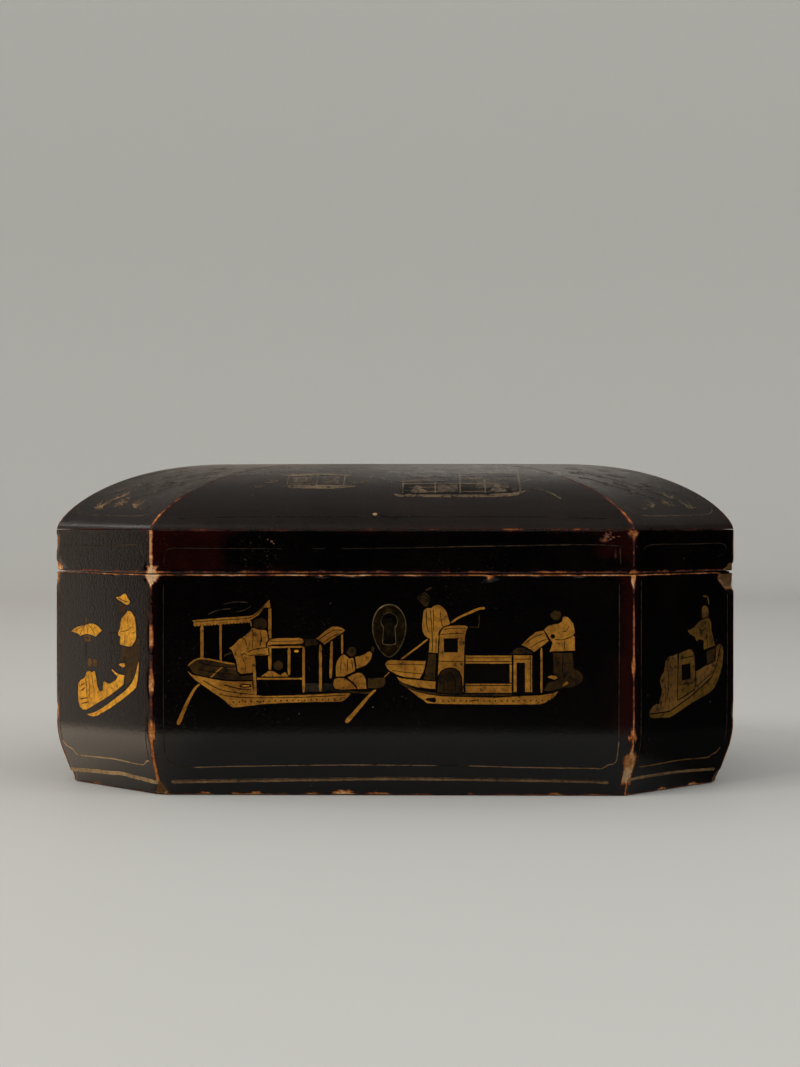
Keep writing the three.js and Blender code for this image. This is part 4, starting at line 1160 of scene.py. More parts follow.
# The skin of a filled shape. On the dome it gets points inside, so that it follows the curve.
def fillSkin(points, lift, number, rounded, reach, onDome):
    outline = curveThrough(points, True, 4) if rounded else points
    outline = handDrawn(resampled(outline, True, 1.1), 0.06, number)
    count = len(outline)
    if onDome:
        spacing = 3.0
        across, upward = (int((reach[n + 1] - reach[n]) / spacing) for n in (0, 2))
        grid = [
            (reach[0] + (a + 0.5) * spacing, reach[2] + (b + 0.5) * spacing)
            for a in range(across)
            for b in range(upward)
        ]
        flat = [Vector(p) for p in outline + [p for p in grid if insideOutline(*p, outline)]]
        cdt = geometry.delaunay_2d_cdt(flat, [(k, (k + 1) % count) for k in range(count)], [], 1, 1e-6)
        return [(p.x, p.y, lift) for p in cdt[0]], cdt[2]
    places = [(x, y, height) for height in (lift, skin["root"]) for x, y in outline]
    faces = geometry.tessellate_polygon([[Vector((x, y, 0)) for x, y in outline]])
    return places, faces + bandFaces(0, count, count)


def reachOf(points, grown=0):
    xs, ys = zip(*points)
    return min(xs) - grown, max(xs) + grown, min(ys) - grown, max(ys) + grown


# Larger shapes in these tones get a dark line round them.
def withDarkLines(shapes):
    result = []
    for kind, tone, points, extra in (one for shape in shapes for one in shape):
        result.append((kind, tone, points, extra))
        left, right, low, high = reachOf(points)
        if kind == "fill" and tone in ("gold", "warm", "rubbed", "olive") and max(right - left, high - low) > 2.5:
            result.append(("stroke", "dark", points + points[:1], (0.5, 0.5, extra)))
    return result


# One object for a face's drawing. Each shape lies above the shapes that it crosses.
def makeDrawing(name, face, body, shapes):
    flat = withDarkLines(shapes)
    tones = sorted({shape[1] for shape in flat})
    vertices = []
    faces = []
    kinds = []
    laid = []
    for number, (kind, tone, points, extra) in enumerate(flat):
        reach = reachOf(points, extra[0] if kind == "stroke" else 0)
        layer = 0
        for (left, right, low, high), otherLayer in laid:
            if reach[0] < right and left < reach[1] and reach[2] < high and low < reach[3]:
                layer = max(layer, otherLayer + 1)
        laid.append((reach, layer))
        lift = skin["lowest"] + skin["step"] * layer
        if kind == "stroke":
            places, shapeFaces = strokeSkin(points, lift, number, *extra)
        else:
            places, shapeFaces = fillSkin(points, lift, number, extra, reach, face[0] == "dome")
        faces += [tuple(len(vertices) + index for index in shapeFace) for shapeFace in shapeFaces]
        vertices += [onFace(face, *spot) for spot in places]
        kinds += [tones.index(tone)] * len(shapeFaces)
    faceMiddle = (0, 40 if face[0] == "wall" else 8)
    normal = onFace(face, *faceMiddle, 1) - onFace(face, *faceMiddle, 0)

    def turnOutwards(bm):
        bm.normal_update()
        bmesh.ops.reverse_faces(bm, faces=[f for f in bm.faces if f.normal.dot(normal) < -0.2])

    piece = reshape(newObject(name, vertices, faces, [gold[tone] for tone in tones], kinds), turnOutwards)
    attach(piece, body)


# The boat on the front's left: a roofed bow with its boatman, a cabin, an awning and a seated figure.
leftBoat = [
    stroke("faint", 0.5, (-72, 15.6, -68, 13.9, -63, 13.3)),
    stroke("faint", 0.45, (-66, 11.6, -61, 10.6, -56.5, 10.9)),
    stroke("faint", 0.4, (-61, 14.6, -57.5, 13.8, -55, 12.2)),
    stroke("warm", 1.2, (-74.3, 19.8, -74.3, 39.5)),
    stroke("warm", 1.0, (-67, 19, -67, 34.8, -70.5, 38.2), tip=0.6, rounded=False),
    stroke("warm", 1.2, (-47.7, 11, -47.7, 37.5)),
    fill("warm", -78.3, 17.8, -76, 17.4, -66, 16.6, -56, 16, -54.5, 15.6, -52.5, 14.2, -50.5, 12.3, -48.2, 9.7, -47.6,
        9.7, -47.3, 13, -48.6, 13.1, -49.9, 13.2, -52, 16, -55.2, 18, -61, 18.8, -66, 19, -70, 19.3, -74, 19.8, -77.5,
        19.4),
    dots("warm", (-77, 19.7), (-56, 18.2), 17, 0.62),
    stroke("dark", 0.25, (-77.8, 18.6, -66, 17.7, -56, 17, -52.5, 15, -49.5, 12)),
    stroke("warm", 0.6, (-55.3, 18, -54.9, 20.3)),
    fill("olive", -54.5, 18.6, -53.4, 17.2, -51, 16.8, -49.2, 17.6, -48.5, 19.4, -49.5, 21.2, -52, 21.4, -54, 20.6,
        rounded=True),
    fill("olive", -80, 35.5, -75.5, 32.7, -70, 33.8, -62, 34.8, -61, 35, -60.8, 37.5, -59, 39.5, -54.3, 39, -54.3,
        41.5, -60, 41.6, -65, 41.3, -70, 40.3, -75, 40, -78, 38.5),
    stroke("warm", 0.6, (-79.8, 35.7, -75.3, 32.8, -66, 34.3, -61.5, 35)),
    stroke("warm", 0.5, (-71.8, 41.2, -68.5, 38, -66.4, 36.2)),
    stroke("dim", 0.5, (-66.4, 36.2, -60, 37, -56, 37.6)),
    stroke("dark", 0.3, (-75.5, 34.4, -70, 35.6, -62, 36.6), (-76, 37, -70, 38.2, -62, 39)),
    fill("olive", -66, 32.5, -65.5, 31, -62.5, 29.8, -62, 30.8),
    fill("warm", -54.8, 20.8, -56, 22.3, -58, 24, -60, 25.2, -62, 27.3, -64, 28.8, -63, 29.4, -62.3, 31, -61.8, 32.2,
        -61, 34, -60.5, 38, -59, 39, -55.5, 38.8, -54.3, 38.3, -54, 32.5, -53.6, 31.9, -48, 31.6, -48.2, 28, -48.9,
        27.2, -48, 25.5, -48.6, 22.3, -49.3, 21.5, -52.5, 21.2, -54, 20.6),
    stroke("dark", 0.3, (-60.2, 25.2, -58.5, 24.8, -57.2, 26, -57, 28), (-54.5, 21, -54.3, 25, -54.6, 29), (-56.5,
        30.5, -54.5, 29.4, -51, 28.7, -48.3, 28.5), (-58.7, 31.5, -57.5, 30.8, -56.8, 31.7), (-56.5, 31.8, -53, 31.4,
        -49, 31)),
    stroke("dark", 0.26, (-51.5, 22, -51, 24.5, -51.4, 27.5), (-57.5, 33.5, -57.2, 38)),
    fill("warm", -81.8, 35.5, -80, 37.4, -78, 39, -74, 39.8, -70, 40.6, -66, 41.3, -62, 41.6, -54.5, 41.6, -53.6,
        46.8, -50, 47.3, -40, 47, -30, 46.6, -20, 46, -16.3, 46.1, -15.8, 46.7, -17, 48, -18.5, 49.3, -20, 49.9, -30,
        50, -40, 50.3, -50, 50.8, -60, 52.1, -62, 52.2, -63.5, 51.5, -65, 50, -67, 48.3, -70, 46.4, -72, 45, -75,
        42.9, -77, 41.5, -79, 39.5, -80.5, 37.5),
    stroke("dark", 0.32, (-74, 41.3, -67.5, 44.9, -60, 46.3, -53.5, 46.9)),
    stroke("dark", 0.28, (-68, 46.6, -60, 48, -40, 48.1, -18, 47.1)),
    oval("gold", -57.2, 43.5, 2.2, 0.5),
    stroke("olive", 0.5, (-66, 43, -60, 44.6, -55, 44.9)),
    dots("dark", (-62, 49.9), (-20, 48.6), 19, 0.3),
    fill("ghost", -34, 42.5, -22, 42.5, -22, 45.6, -34, 45.9),
    stroke("warm", 1.1, (-54.1, 32, -53.3, 47)),
    fill("warm", -53, 41, -52, 40, -50.5, 39, -48.5, 37.6, -47, 37.3, -45.5, 38, -43.5, 39.2, -42.7, 38.3, -41.5, 38,
        -40.3, 39.5, -40, 41.2, -53, 41.6),
    stroke("dark", 0.26, (-47, 37.6, -46.6, 40.4), (-50, 39.4, -48.8, 40.8)),
    oval("olive", -44.4, 35.3, 2.1, 2.2),
    stroke("dark", 0.7, (-46.2, 34.4, -44.4, 33.2, -42.6, 34.3)),
    fill("warm", -53, 40.1, -35, 40.1, -35, 41.2, -53, 41.3),
    fill("olive", -34.5, 25, -30, 25, -28.5, 26.3, -29, 27.5, -34, 28.3),
    fill("warm", -47.5, 25, -44, 24.6, -36, 24.5, -34.6, 25, -34.3, 26.5, -35.5, 27.3, -47, 27.5, -49, 28.5, -48.9,
        26.6),
    stroke("dark", 0.34, (-48.4, 27.7, -34.8, 27.6)),
    stroke("dark", 0.22, (-47.6, 26.1, -35.2, 25.9)),
    stroke("warm", 0.7, (-48.5, 28.4, -34.7, 28.2)),
    stroke("warm", 1.1, (-40.2, 28.5, -40.2, 39.3)),
    stroke("warm", 1.0, (-34.5, 28.3, -34.5, 46)),
    oval("gold", -37.3, 29.9, 0.9, 0.5),
    stroke("warm", 1.1, (-27.9, 27.4, -27.9, 45.6), (-23.5, 26, -23.9, 40.5)),
    stroke("warm", 0.8, (-19.4, 22.8, -19.4, 31)),
    fill("warm", -30, 25, -28, 23.3, -25.5, 21.3, -23.5, 20.2, -21.5, 20, -19.5, 20.5, -18, 21.5, -18.7, 22.5, -20.3,
        23.6, -22.5, 25, -26.3, 27.5, -28.5, 26),
    stroke("dark", 0.28, (-28.6, 25.6, -25.8, 23.4, -22.5, 21.7, -19, 21.8)),
    stroke("dark", 0.24, (-27.2, 26.8, -23.5, 24.3, -20, 22.8)),
    fill("olive", -9.5, 40.3, -4, 40, -2.5, 40.2, -2.2, 42, -3, 43.8, -5, 44.6, -9.6, 44.5),
    oval("olive", -15.8, 29.9, 2.1, 2.3),
    stroke("dark", 0.8, (-17.6, 29.6, -16.6, 28, -14.6, 28.1)),
    fill("warm", -22, 38.5, -22.2, 36.5, -21.8, 34, -20.7, 32.3, -19.5, 31.2, -18.3, 31, -16.5, 32.6, -15.3, 32.3,
        -14.7, 33, -14, 36.8, -14.5, 38, -18, 39.5, -18.7, 40, -22, 40),
    fill("warm", -22.7, 40.8, -21, 40.1, -18.5, 40.3, -16, 41.8, -14, 43.5, -13.5, 44.8, -19, 45.2, -22.3, 44.8,
        -23.2, 43),
    fill("warm", -17.5, 40.2, -15.5, 38.8, -13.5, 38.1, -12, 38.2, -10.8, 39.2, -10, 40.7, -9.7, 44.8, -13.5, 44.9,
        -14, 43.5, -16, 41.7),
    fill("warm", -14.5, 32, -12.5, 31.5, -11, 31, -9, 29.8, -8, 29.6, -7.5, 30.5, -7.7, 32.5, -8.5, 34, -10, 35.5,
        -12, 36.5, -14, 36.9),
    oval("olive", -7.4, 29.1, 0.9, 1.4),
    stroke("dark", 0.28, (-19.8, 32.5, -20, 38.5), (-17.4, 32.8, -17.3, 38), (-15.7, 33.2, -15.2, 37)),
    stroke("dark", 0.3, (-14.6, 32.4, -13.9, 36.6), (-18.2, 40.2, -15.6, 42, -13.8, 44.6)),
    stroke("olive", 0.8, (-22, 45.3, -10, 46.2, -6.5, 45.3)),
    stroke("warm", 0.8, (-75.2, 42.8, -77, 44.5, -78.8, 47.5, -80.5, 51, -82, 54.5, -83.8, 58.7), tip=1.7),
    stroke("warm", 0.9, (-6.3, 45, -9, 47.5, -12, 51, -15, 54.5, -18, 57.8), tip=1.8),
    stroke("warm", 0.5, (-2.9, 40, -0.8, 38)),
]

# The boat on the front's right: a boatman with an oar, a tower, a long cabin, an awning and a bowing figure.
rightBoat = [
    fill("olive", 9.6, 9, 11, 7.5, 13, 6.7, 14.5, 8, 15, 10, 14, 12.5, 12.5, 12.3, 11, 10.8, rounded=True),
    stroke("olive", 0.8, (13.2, 6.2, 15.5, 4.9)),
    stroke("dark", 0.5, (10.5, 8.6, 12.5, 7.6, 14.2, 9)),
    stroke("warm", 0.7, (14, 25.2, 10, 28.3, 3.5, 33.2)),
    stroke("warm", 0.8, (23.3, 18.7, 26, 16.8, 30, 15, 34, 13.3, 36.3, 13), tip=1.0),
    stroke("olive", 0.4, (34, 15.5, 34.2, 18.5, 33.8, 20.5, 30.5, 20.4), rounded=False),
    fill("olive", 14.2, 30.8, 17.2, 30.6, 17.4, 33, 17, 41.5, 12, 41.3, 13, 37, 13.8, 34),
    fill("warm", 13.8, 12.9, 12.3, 13.8, 12, 15.5, 11.6, 20, 11.8, 22, 12.5, 23.6, 13.7, 24.8, 14.6, 25.2, 14.2, 30.5,
        18.3, 30.8, 18.9, 24.2, 20.2, 21, 21.4, 20.2, 23.2, 19.2, 22.2, 16.8, 21.8, 15, 21, 13.4, 19.8, 12.3, 18.3,
        11.6, 17, 11.6, 15.3, 12.8),
    stroke("dark", 0.28, (13.5, 14, 13.6, 19, 14.4, 22.5), (15, 13.5, 15.6, 20, 15.8, 25, 15.9, 29.8)),
    stroke("dark", 0.26, (16.2, 13.5, 16.3, 22)),
    stroke("dark", 0.28, (18.9, 14, 19.5, 19, 20, 20.5, 18.6, 22, 18, 24), (17.3, 24.5, 17.2, 30.5)),
    fill("warm", -2.7, 34.8, -2, 33.6, -0.5, 33.1, 7, 33.4, 13.5, 33.5, 13, 36.5, 12.3, 38.5, 11, 40.8, 5, 40.2, 2.5,
        39.5, 0.8, 38.7, -1, 37.8, -2.2, 36.4),
    stroke("dark", 0.24, (-1.6, 35, 6, 35, 12.8, 35.2)),
    stroke("dark", 0.28, (0, 37.3, 6, 38.2, 12.2, 38.7)),
    fill("warm", 1.5, 39.5, 4, 40.3, 11, 41, 17.3, 41.5, 17.2, 44.9, 10, 44.2, 7, 43.4, 4.5, 42.5, 2.5, 41.3),
    fill("warm", 0.8, 39, 2, 40.8, 4, 42.8, 7, 45.3, 10, 47.8, 12.3, 49.2, 13.6, 50.4, 20, 50.7, 40, 50.9, 57.5, 50.8,
        59.5, 50.3, 61.5, 49.3, 63.5, 47.9, 65.1, 45.8, 65, 45.2, 62.5, 46, 58.5, 46.8, 50, 47.2, 40, 47.8, 20, 47.3,
        14, 46.5, 10, 45.6, 6, 44, 3, 42),
    stroke("olive", 0.8, (3, 41.8, 6, 43.7, 10, 45.4, 18, 46.5, 30, 47)),
    fill("dark", 12.8, 48.8, 14, 48.2, 17, 48, 17.4, 49, 17, 50, 15, 49.6),
    stroke("dark", 0.4, (30, 49.4, 34, 48.8)),
    dots("dark", (20, 49.4), (61, 49.1), 19, 0.3),
    fill("warm", 18.5, 24, 18.9, 22.3, 19.6, 21, 20.6, 20.2, 23, 19.7, 26, 19.5, 28.5, 19.6, 29.7, 20, 29.9, 20.6,
        29.2, 22, 28.8, 24, 28.5, 30, 28.2, 46, 17.5, 45),
    stroke("dark", 0.28, (19, 23.4, 23, 23, 28.6, 23)),
    stroke("dark", 0.24, (20, 21.4, 24, 20.9, 29.2, 20.9)),
    fill("dark", 20.3, 24.8, 25.8, 24.8, 25.8, 30.3, 20.3, 30.3),
    stroke("warm", 0.6, (19.3, 31.9, 26.9, 31.9)),
    stroke("dark", 0.28, (18, 33.8, 28.2, 33.9)),
    fill("olive", 17.6, 45, 17.8, 42, 18.3, 39.5, 19.3, 37.7, 21, 36.7, 23, 36.4, 25, 36.8, 26.4, 38, 27.2, 40, 27.6,
        46.8, 17.6, 46.2),
    stroke("dark", 0.3, (20.3, 45.6, 20.6, 41, 22.6, 38.6, 24.6, 41, 25, 46)),
    fill("warm", 28.6, 31.3, 47, 31.3, 47, 34.9, 28.6, 34.9),
    stroke("dark", 0.3, (28.6, 33.9, 47, 33.9)),
    stroke("dark", 0.22, (28.8, 32.4, 46.8, 32.4)),
    fill("dark", 28.6, 35, 45.7, 35, 45.7, 42.2, 28.6, 42.2),
    fill("warm", 45.8, 34.9, 47, 34.9, 47, 42.4, 45.8, 42.4),
    fill("warm", 28.6, 42.3, 47, 42.3, 47, 46.3, 28.6, 46.3),
    stroke("dark", 0.28, (28.6, 43.2, 47, 43.2)),
    stroke("olive", 0.8, (28.6, 46.9, 47, 46.9)),
    fill("olive", 46.8, 31, 47.2, 29.8, 48.5, 28.5, 51, 28.3, 53, 29, 55.3, 30.8, rounded=True),
    fill("warm", 47.3, 31.2, 55, 31.2, 55, 46, 47.3, 46),
    fill("dark", 48.7, 34.3, 52, 34.3, 52, 45.8, 48.7, 45.8),
    stroke("dark", 0.28, (47.6, 32.9, 54.8, 32.9), (54.2, 32, 54.2, 45.8)),
    fill("warm", 50.5, 27.3, 52, 25.5, 54, 23.8, 56, 22.2, 59.3, 21.5, 61.5, 25.9, 59.5, 27.5, 55.6, 30.3, 54, 29.3,
        50.7, 27.6),
    stroke("dark", 0.28, (51.8, 27.2, 55, 24.6, 59.6, 22.8)),
    stroke("dark", 0.26, (54, 28.6, 57.5, 26.2, 61, 25)),
    stroke("warm", 0.8, (58.4, 28.5, 58.4, 46)),
    oval("olive", 64, 15.6, 2.3, 2.3),
    stroke("dark", 0.7, (62, 15, 63.4, 13.6, 65.6, 14.2)),
    fill("olive", 62.7, 30.3, 70.6, 30.3, 71.2, 36.5, 73, 37.2, 74.3, 38.6, 74.9, 40, 74.4, 41.8, 73, 43, 70.5, 44,
        65, 44.7, 62, 45.6, 59, 45.3, 60, 43.5, 61, 42, 65, 40.8, 63, 38.5, 62.9, 35),
    fill("warm", 59.3, 21.5, 60.2, 20.3, 61, 19.7, 63.5, 19, 65, 18.9, 66.3, 18, 66.5, 16.4, 67.5, 16, 68.8, 16.4, 70,
        17.5, 71, 19, 71.7, 22.5, 71, 23.8, 71.6, 24.2, 71.6, 29.8, 64, 30, 61.3, 30.2, 62.5, 26.5, 61.8, 25.6),
    oval("dark", 62.8, 24, 0.9, 0.9),
    stroke("dark", 0.3, (63.5, 25, 66, 25.4, 69, 24.6, 71, 23.6)),
    stroke("dark", 0.28, (66, 22.3, 68, 22, 69, 20)),
    stroke("dark", 0.26, (67.4, 25.8, 67.2, 29.6)),
    fill("warm", 60.4, 40, 62, 39, 64, 39.2, 65.2, 40.2, 63.5, 41.3),
    fill("warm", 66.5, 43.8, 67, 42.5, 68.5, 41.5, 69, 42.5),
    stroke("dark", 0.3, (66.8, 31, 66.6, 37, 67.4, 41)),
]

frontLines = [
    stroke("ghost", 0.5, (-84, 76.3, -60, 75.7, -20, 75, 20, 75.2, 55, 76, 75, 76.2, 82, 76.5)),
    stroke("tan", 0.42, (-78, 76.2, -60, 75.7, -20, 75, 18, 75.2)),
    stroke("tan", 0.45, (30, 75.3, 55, 76, 75, 76.2, 82, 76.5), (82, 76.5, 83.5, 75.5, 85, 74.6, 86.5, 74.4, 87.8, 73,
        88.2, 70, 88.6, 65)),
    stroke("faint", 0.35, (88.6, 65, 88.7, 40, 88.8, 20, 88.7, 3.5)),
    stroke("ghost", 0.4, (-84, 76.3, -86, 74.5, -88, 73, -89.2, 68, -89.5, 50, -89.5, 25, -89.4, 4)),
    stroke("tan", 1.45, (-87, 82.6, -60, 82, -20, 81.3, 0, 81, 40, 81.4, 75, 82, 85, 82.6), tip=1.2),
    stroke("dark", 0.3, (-86, 82.2, -60, 81.6, -20, 80.9, 0, 80.6, 40, 81, 75, 81.6, 84, 82.2)),
]

# The left canted corner: a parasol over a small boat, and a boatman in a pointed hat, in gold painted lighter as if
# lit.
leftCorner = [
    stroke("faint", 0.5, (-11.2, 27, -11.2, 36)),
    fill("dim", -12, 25.5, -8, 25.5, -8, 28, -12, 28),
    stroke("dim", 0.7, (-11, 18.5, -11, 20.6)),
    fill("gold", -22.2, 24.8, -20, 23.2, -17.5, 22.2, -14, 21.5, -8.5, 20.5, -6, 20.4, -3.5, 21, -1.5, 22, 0.2, 23.2,
        -1.5, 24.2, -4.2, 26, -8.5, 25.3, -11, 25.2, -15.3, 26.2, -16.8, 25.3, -20.5, 24.7),
    stroke("dark", 0.26, (-20.5, 24.3, -15, 22.6, -11, 20.9), (-15.6, 25.6, -13.4, 23, -11, 20.9), (-9.8, 25, -10.2,
        23, -11, 20.9), (-4.6, 25.4, -7, 22.8, -10, 20.9)),
    fill("olive", 12.5, 29, 18, 29.3, 21, 28.5, 22.5, 27, 23.8, 25.3, 25.2, 25, 25.8, 28, 25.6, 32, 24.5, 36, 22,
        40.5, 19, 43, 16, 44.5, 15.5, 40, 15.6, 37, 15, 35, 12.3, 34.5),
    stroke("faint", 0.5, (6.2, 25, 6.2, 37), (9.5, 25, 9.5, 37)),
    fill("olive", 5, 23.3, 10.5, 23.4, 10.6, 24.2, 5, 24),
    fill("olive", 11, 11.5, 13.5, 12, 16.5, 13, 16.8, 14.2, 15.5, 14.8, 14.5, 16, 12.8, 17, 11.8, 16, rounded=True),
    fill("gold", 9.2, 9.3, 12, 9, 13.3, 8.4, 14.8, 7.7, 16.2, 7.8, 17.2, 9, 18.5, 10.2, 19.1, 11, 18.2, 12.2, 16.8,
        12.6, 14.5, 12, 12.5, 11.2, 10, 10.3),
    stroke("dark", 0.28, (10.6, 9.7, 14, 10.6, 18, 11.2)),
    fill("gold", 17.2, 14.6, 19, 14.5, 20.5, 15.3, 22, 17, 22.8, 19.5, 23.1, 24.5, 22.8, 26, 21.5, 27.5, 20, 28.8, 18,
        29.1, 12, 28.5, 11.9, 27, 12.3, 25.3, 10.6, 24.6, 10.8, 23.3, 12, 21.8, 12.3, 19.5, 13, 17.8, 14.5, 16.7, 16,
        15.5),
    stroke("dark", 0.3, (12.5, 23.2, 17.5, 22.3, 19.3, 21), (20, 23.5, 22.5, 22.8)),
    stroke("dark", 0.26, (15.4, 24.6, 15.2, 28.4), (16.8, 16, 17.6, 20)),
    fill("gold", 10.3, 36.3, 12.5, 35.6, 15.3, 35.4, 15.6, 37, 14, 37.6),
    oval("dim", -8.5, 36.5, 1.5, 1.7),
    oval("dim", -5, 36.5, 1.5, 1.7),
    fill("gold", 25, 33.5, 24.7, 38, 24, 42, 23, 44.9, 21.5, 46, 18, 48, 14, 50.2, 5, 54.6, 0, 56.6, -3, 57.9, -6,
        58.5, -9, 58.3, -11, 57.6, -5, 56.2, 0, 54.2, 5, 51.8, 10, 49.2, 15, 46.6, 18, 44.6, 20.5, 42.2, 22.3, 39.3,
        23.5, 36),
    fill("gold", -16.7, 45.5, -15, 43.8, -13, 43.1, -11.8, 42.2, -11, 40.5, -9.5, 39.8, -8, 39.7, -7, 40.4, -6, 39.7,
        -4.8, 39.7, -3.7, 43, -3, 45.8, -2, 47.2, -0.5, 47.6, 0.3, 47, 0.5, 44, 1.5, 43.4, 5, 44.2, 7, 43.4, 9.5,
        42.2, 10.3, 41.2, 8.3, 40.3, 6.2, 38.8, 7.2, 38.2, 9, 39.3, 12, 40, 15.3, 40.2, 15, 42.5, 14.5, 44.3, 11,
        46.3, 6, 48.9, 1, 51.2, -4, 53.2, -8, 55, -11, 56.1, -13.5, 56.2, -15.5, 55, -16.7, 52.5, -17, 49),
    stroke("dark", 0.34, (15, 44.5, 5, 49.3, -5, 53.9, -9, 55.8), (15, 46, 5, 51, -5, 55.2, -10, 57)),
    stroke("olive", 0.5, (-15, 46.5, -12, 45), (-15, 48.5, -11.5, 46.8), (-15.5, 51.8, -10, 50.9), (-14, 53.5, -9,
        52.5)),
    stroke("dark", 0.3, (-11.6, 43, -10.6, 46.5, -11, 50), (-7, 40.8, -6.4, 45, -4.6, 49)),
    stroke("dark", 0.24, (-9.6, 41, -8.6, 46, -8.8, 51)),
]

leftCornerLines = [
    stroke("dim", 0.5, (-29.8, 1.5, -29.8, 30, -29.8, 65, -29, 70)),
    stroke("pale", 0.6, (-29, 70, -27, 72, -23.3, 73.2, -22.5, 74.8, -20.5, 75.7), (-20.5, 75.7, -5, 75.3, 5, 75.1,
        18, 75.8, 23.5, 75.9)),
    stroke("pale", 0.55, (23.5, 75.9, 25, 75.2, 26.5, 74.1, 28.5, 73.6)),
    stroke("faint", 0.4, (28.6, 73.5, 28.6, 40, 28.6, 3)),
    stroke("pale", 1.7, (-30, 83, -10, 82, 0, 81.8, 6, 81.3, 15, 82, 30, 83)),
]

# The right canted corner, more rubbed and with painted shade darkening its gold: a small cabin boat and its boatman.
rightCorner = [
    fill("dim", -5, 32, -7.5, 32.6, -10.5, 33, -12.5, 34.5, -13.7, 39, -15.5, 40.5, -16.2, 42.5, -14.7, 46.5, -16.3,
        50, -16.5, 51.3, -18.5, 51.3, -20.5, 52, -22.3, 53.5, -23, 55, -22.3, 56.5, -20, 57, -10, 57.4, -6, 56.2, 0,
        54, 6, 51.9, 12, 50.3, 17, 48.6, 19.5, 47, 21.5, 44.5, 23.3, 41.2, 24.5, 38.5, 25.4, 32.5, 24.8, 30.6, 23.5,
        29.3, 22, 29.4, 20.2, 30.4, 14.3, 37.5, 6.9, 39.8, -5, 41),
    fill("rubbed", -20, 57, -22.3, 56.5, -23, 55, -10, 54.8, 0, 51, 6, 48.5, 17, 42.8, 20.4, 38, 23.5, 29.3, 24.8,
        30.6, 25.4, 32.5, 24.5, 38.5, 23.3, 41.2, 21.5, 44.5, 19.5, 47, 17, 48.6, 12, 50.3, 6, 51.9, 0, 54, -6, 56.2,
        -10, 57.4),
    stroke("dark", 0.36, (-10, 54.8, 0, 51, 6, 48.5, 17, 42.8)),
    stroke("dark", 0.32, (6.5, 45.8, 17, 41.2, 19.5, 39.5)),
    fill("olive", 13.3, 32, 20.2, 30.4, 19.6, 36, 14.3, 37.5),
    stroke("dark", 0.32, (-12, 35.5, -10.6, 42, -11.6, 50)),
    stroke("dark", 0.3, (-15, 42, -12.4, 45.5, -12.8, 51)),
    stroke("rubbed", 0.9, (-8.5, 34, -9.5, 40, -8.5, 47, -9.5, 52), tip=0.5),
    stroke("rubbed", 0.8, (-13.5, 41, -14.2, 45, -15.8, 50), tip=0.4),
    fill("rubbed", -4.3, 31.8, -1, 31, 2, 30.4, 3.8, 30.5, 5.2, 31.6, 6, 33.5, 6.7, 40, 6.2, 46.8, 0, 49.2, -5, 50.5,
        -4.8, 40),
    fill("dark", -2.5, 36.6, 3.2, 36.2, 3.5, 42.5, -2.2, 42.9),
    stroke("dark", 0.3, (-4, 34.2, 5.6, 33.4), (-4.2, 44.6, 6, 44)),
    stroke("dim", 0.7, (11.5, 9.5, 14.5, 10, 15.3, 13)),
    fill("dim", 10.8, 14.5, 12.6, 13.3, 14.7, 14.3, 15, 16.3, 14.5, 18.2, 11, 18.3, rounded=True),
    fill("rubbed", 9.3, 19.3, 11, 18.8, 14.7, 18, 16, 18.7, 17, 20.5, 17.3, 23.5, 18.3, 26, 19.8, 30, 14, 31, 12,
        31.5, 11.6, 30, 11.8, 27.7, 8.8, 27, 7.7, 27.9, 6.7, 27.3, 6, 26, 2.8, 24.6, 1.7, 23.7, 1.3, 22.6, 3, 22.5,
        5.5, 21.7, 7, 20.6),
    stroke("dark", 0.3, (8.6, 22.6, 11.6, 23.4, 13.4, 22)),
    stroke("dark", 0.28, (13.6, 24, 14.6, 30.4)),
    stroke("dark", 0.26, (15.4, 20.4, 16, 26)),
]

rightCornerLines = [
    stroke("faint", 0.5, (-27.8, 2, -27.8, 40, -27.8, 72, -27, 75, -25.5, 76.2)),
    stroke("dim", 0.55, (-25.5, 76.2, -15, 76, 0, 75.5, 18, 76, 20, 75, 23.5, 74, 25, 72)),
    stroke("faint", 0.4, (27.4, 71, 27.8, 40, 27.8, 9)),
    stroke("tan", 1.2, (-29.5, 82, -25, 81, 0, 80.8, 20, 81.6, 26, 82)),
]


# The two lines round a hidden wall's foot and the upright line beside each arris.
def borderLines(edge, top):
    lineV, bandV = 75.6, 81.9
    lines = []
    for s in (-1, 1):
        upright = (s * edge, top, s * edge, 25, s * edge, 50, s * (edge - 0.3), 66, s * (edge - 1.2), 71)
        lines += stroke("ghost", 0.5, upright)
    for s in (-1, 1):
        bend = (s * (edge - 1.2), 71, s * (edge - 2.5), 73.5, s * (edge - 5), 74.8, s * (edge - 6), lineV)
        lines += stroke("tan", 0.5, bend)
    lines += stroke("tan", 0.55, (6 - edge, lineV, 0, lineV - 0.4, edge - 6, lineV))
    ends = (edge + 0.8, bandV + 0.8)
    lines += stroke("tan", 1.5, (-ends[0], ends[1], 12 - edge, bandV, 0, bandV - 0.4, edge - 12, bandV, *ends))
    return [lines]


print("drawing front and corners")
wallDrawings = (
    ("front_boats", 0, leftBoat + rightBoat),
    ("front_border", 0, frontLines),
    ("front_left_boat", 7, leftCorner),
    ("front_left_border", 7, leftCornerLines),
    ("front_right_boat", 1, rightCorner),
    ("front_right_border", 1, rightCornerLines),
)
for name, i, shapes in wallDrawings:
    makeDrawing(name, ("wall", i), "chest_body", shapes)
for i in hiddenSides:
    edge = halfLengths[i % 4] - (3.6 if i % 2 else 5.4)
    makeDrawing(f"{sideNames[i]}_border", ("wall", i), "chest_body", borderLines(edge, 12 if i == 4 else 3))

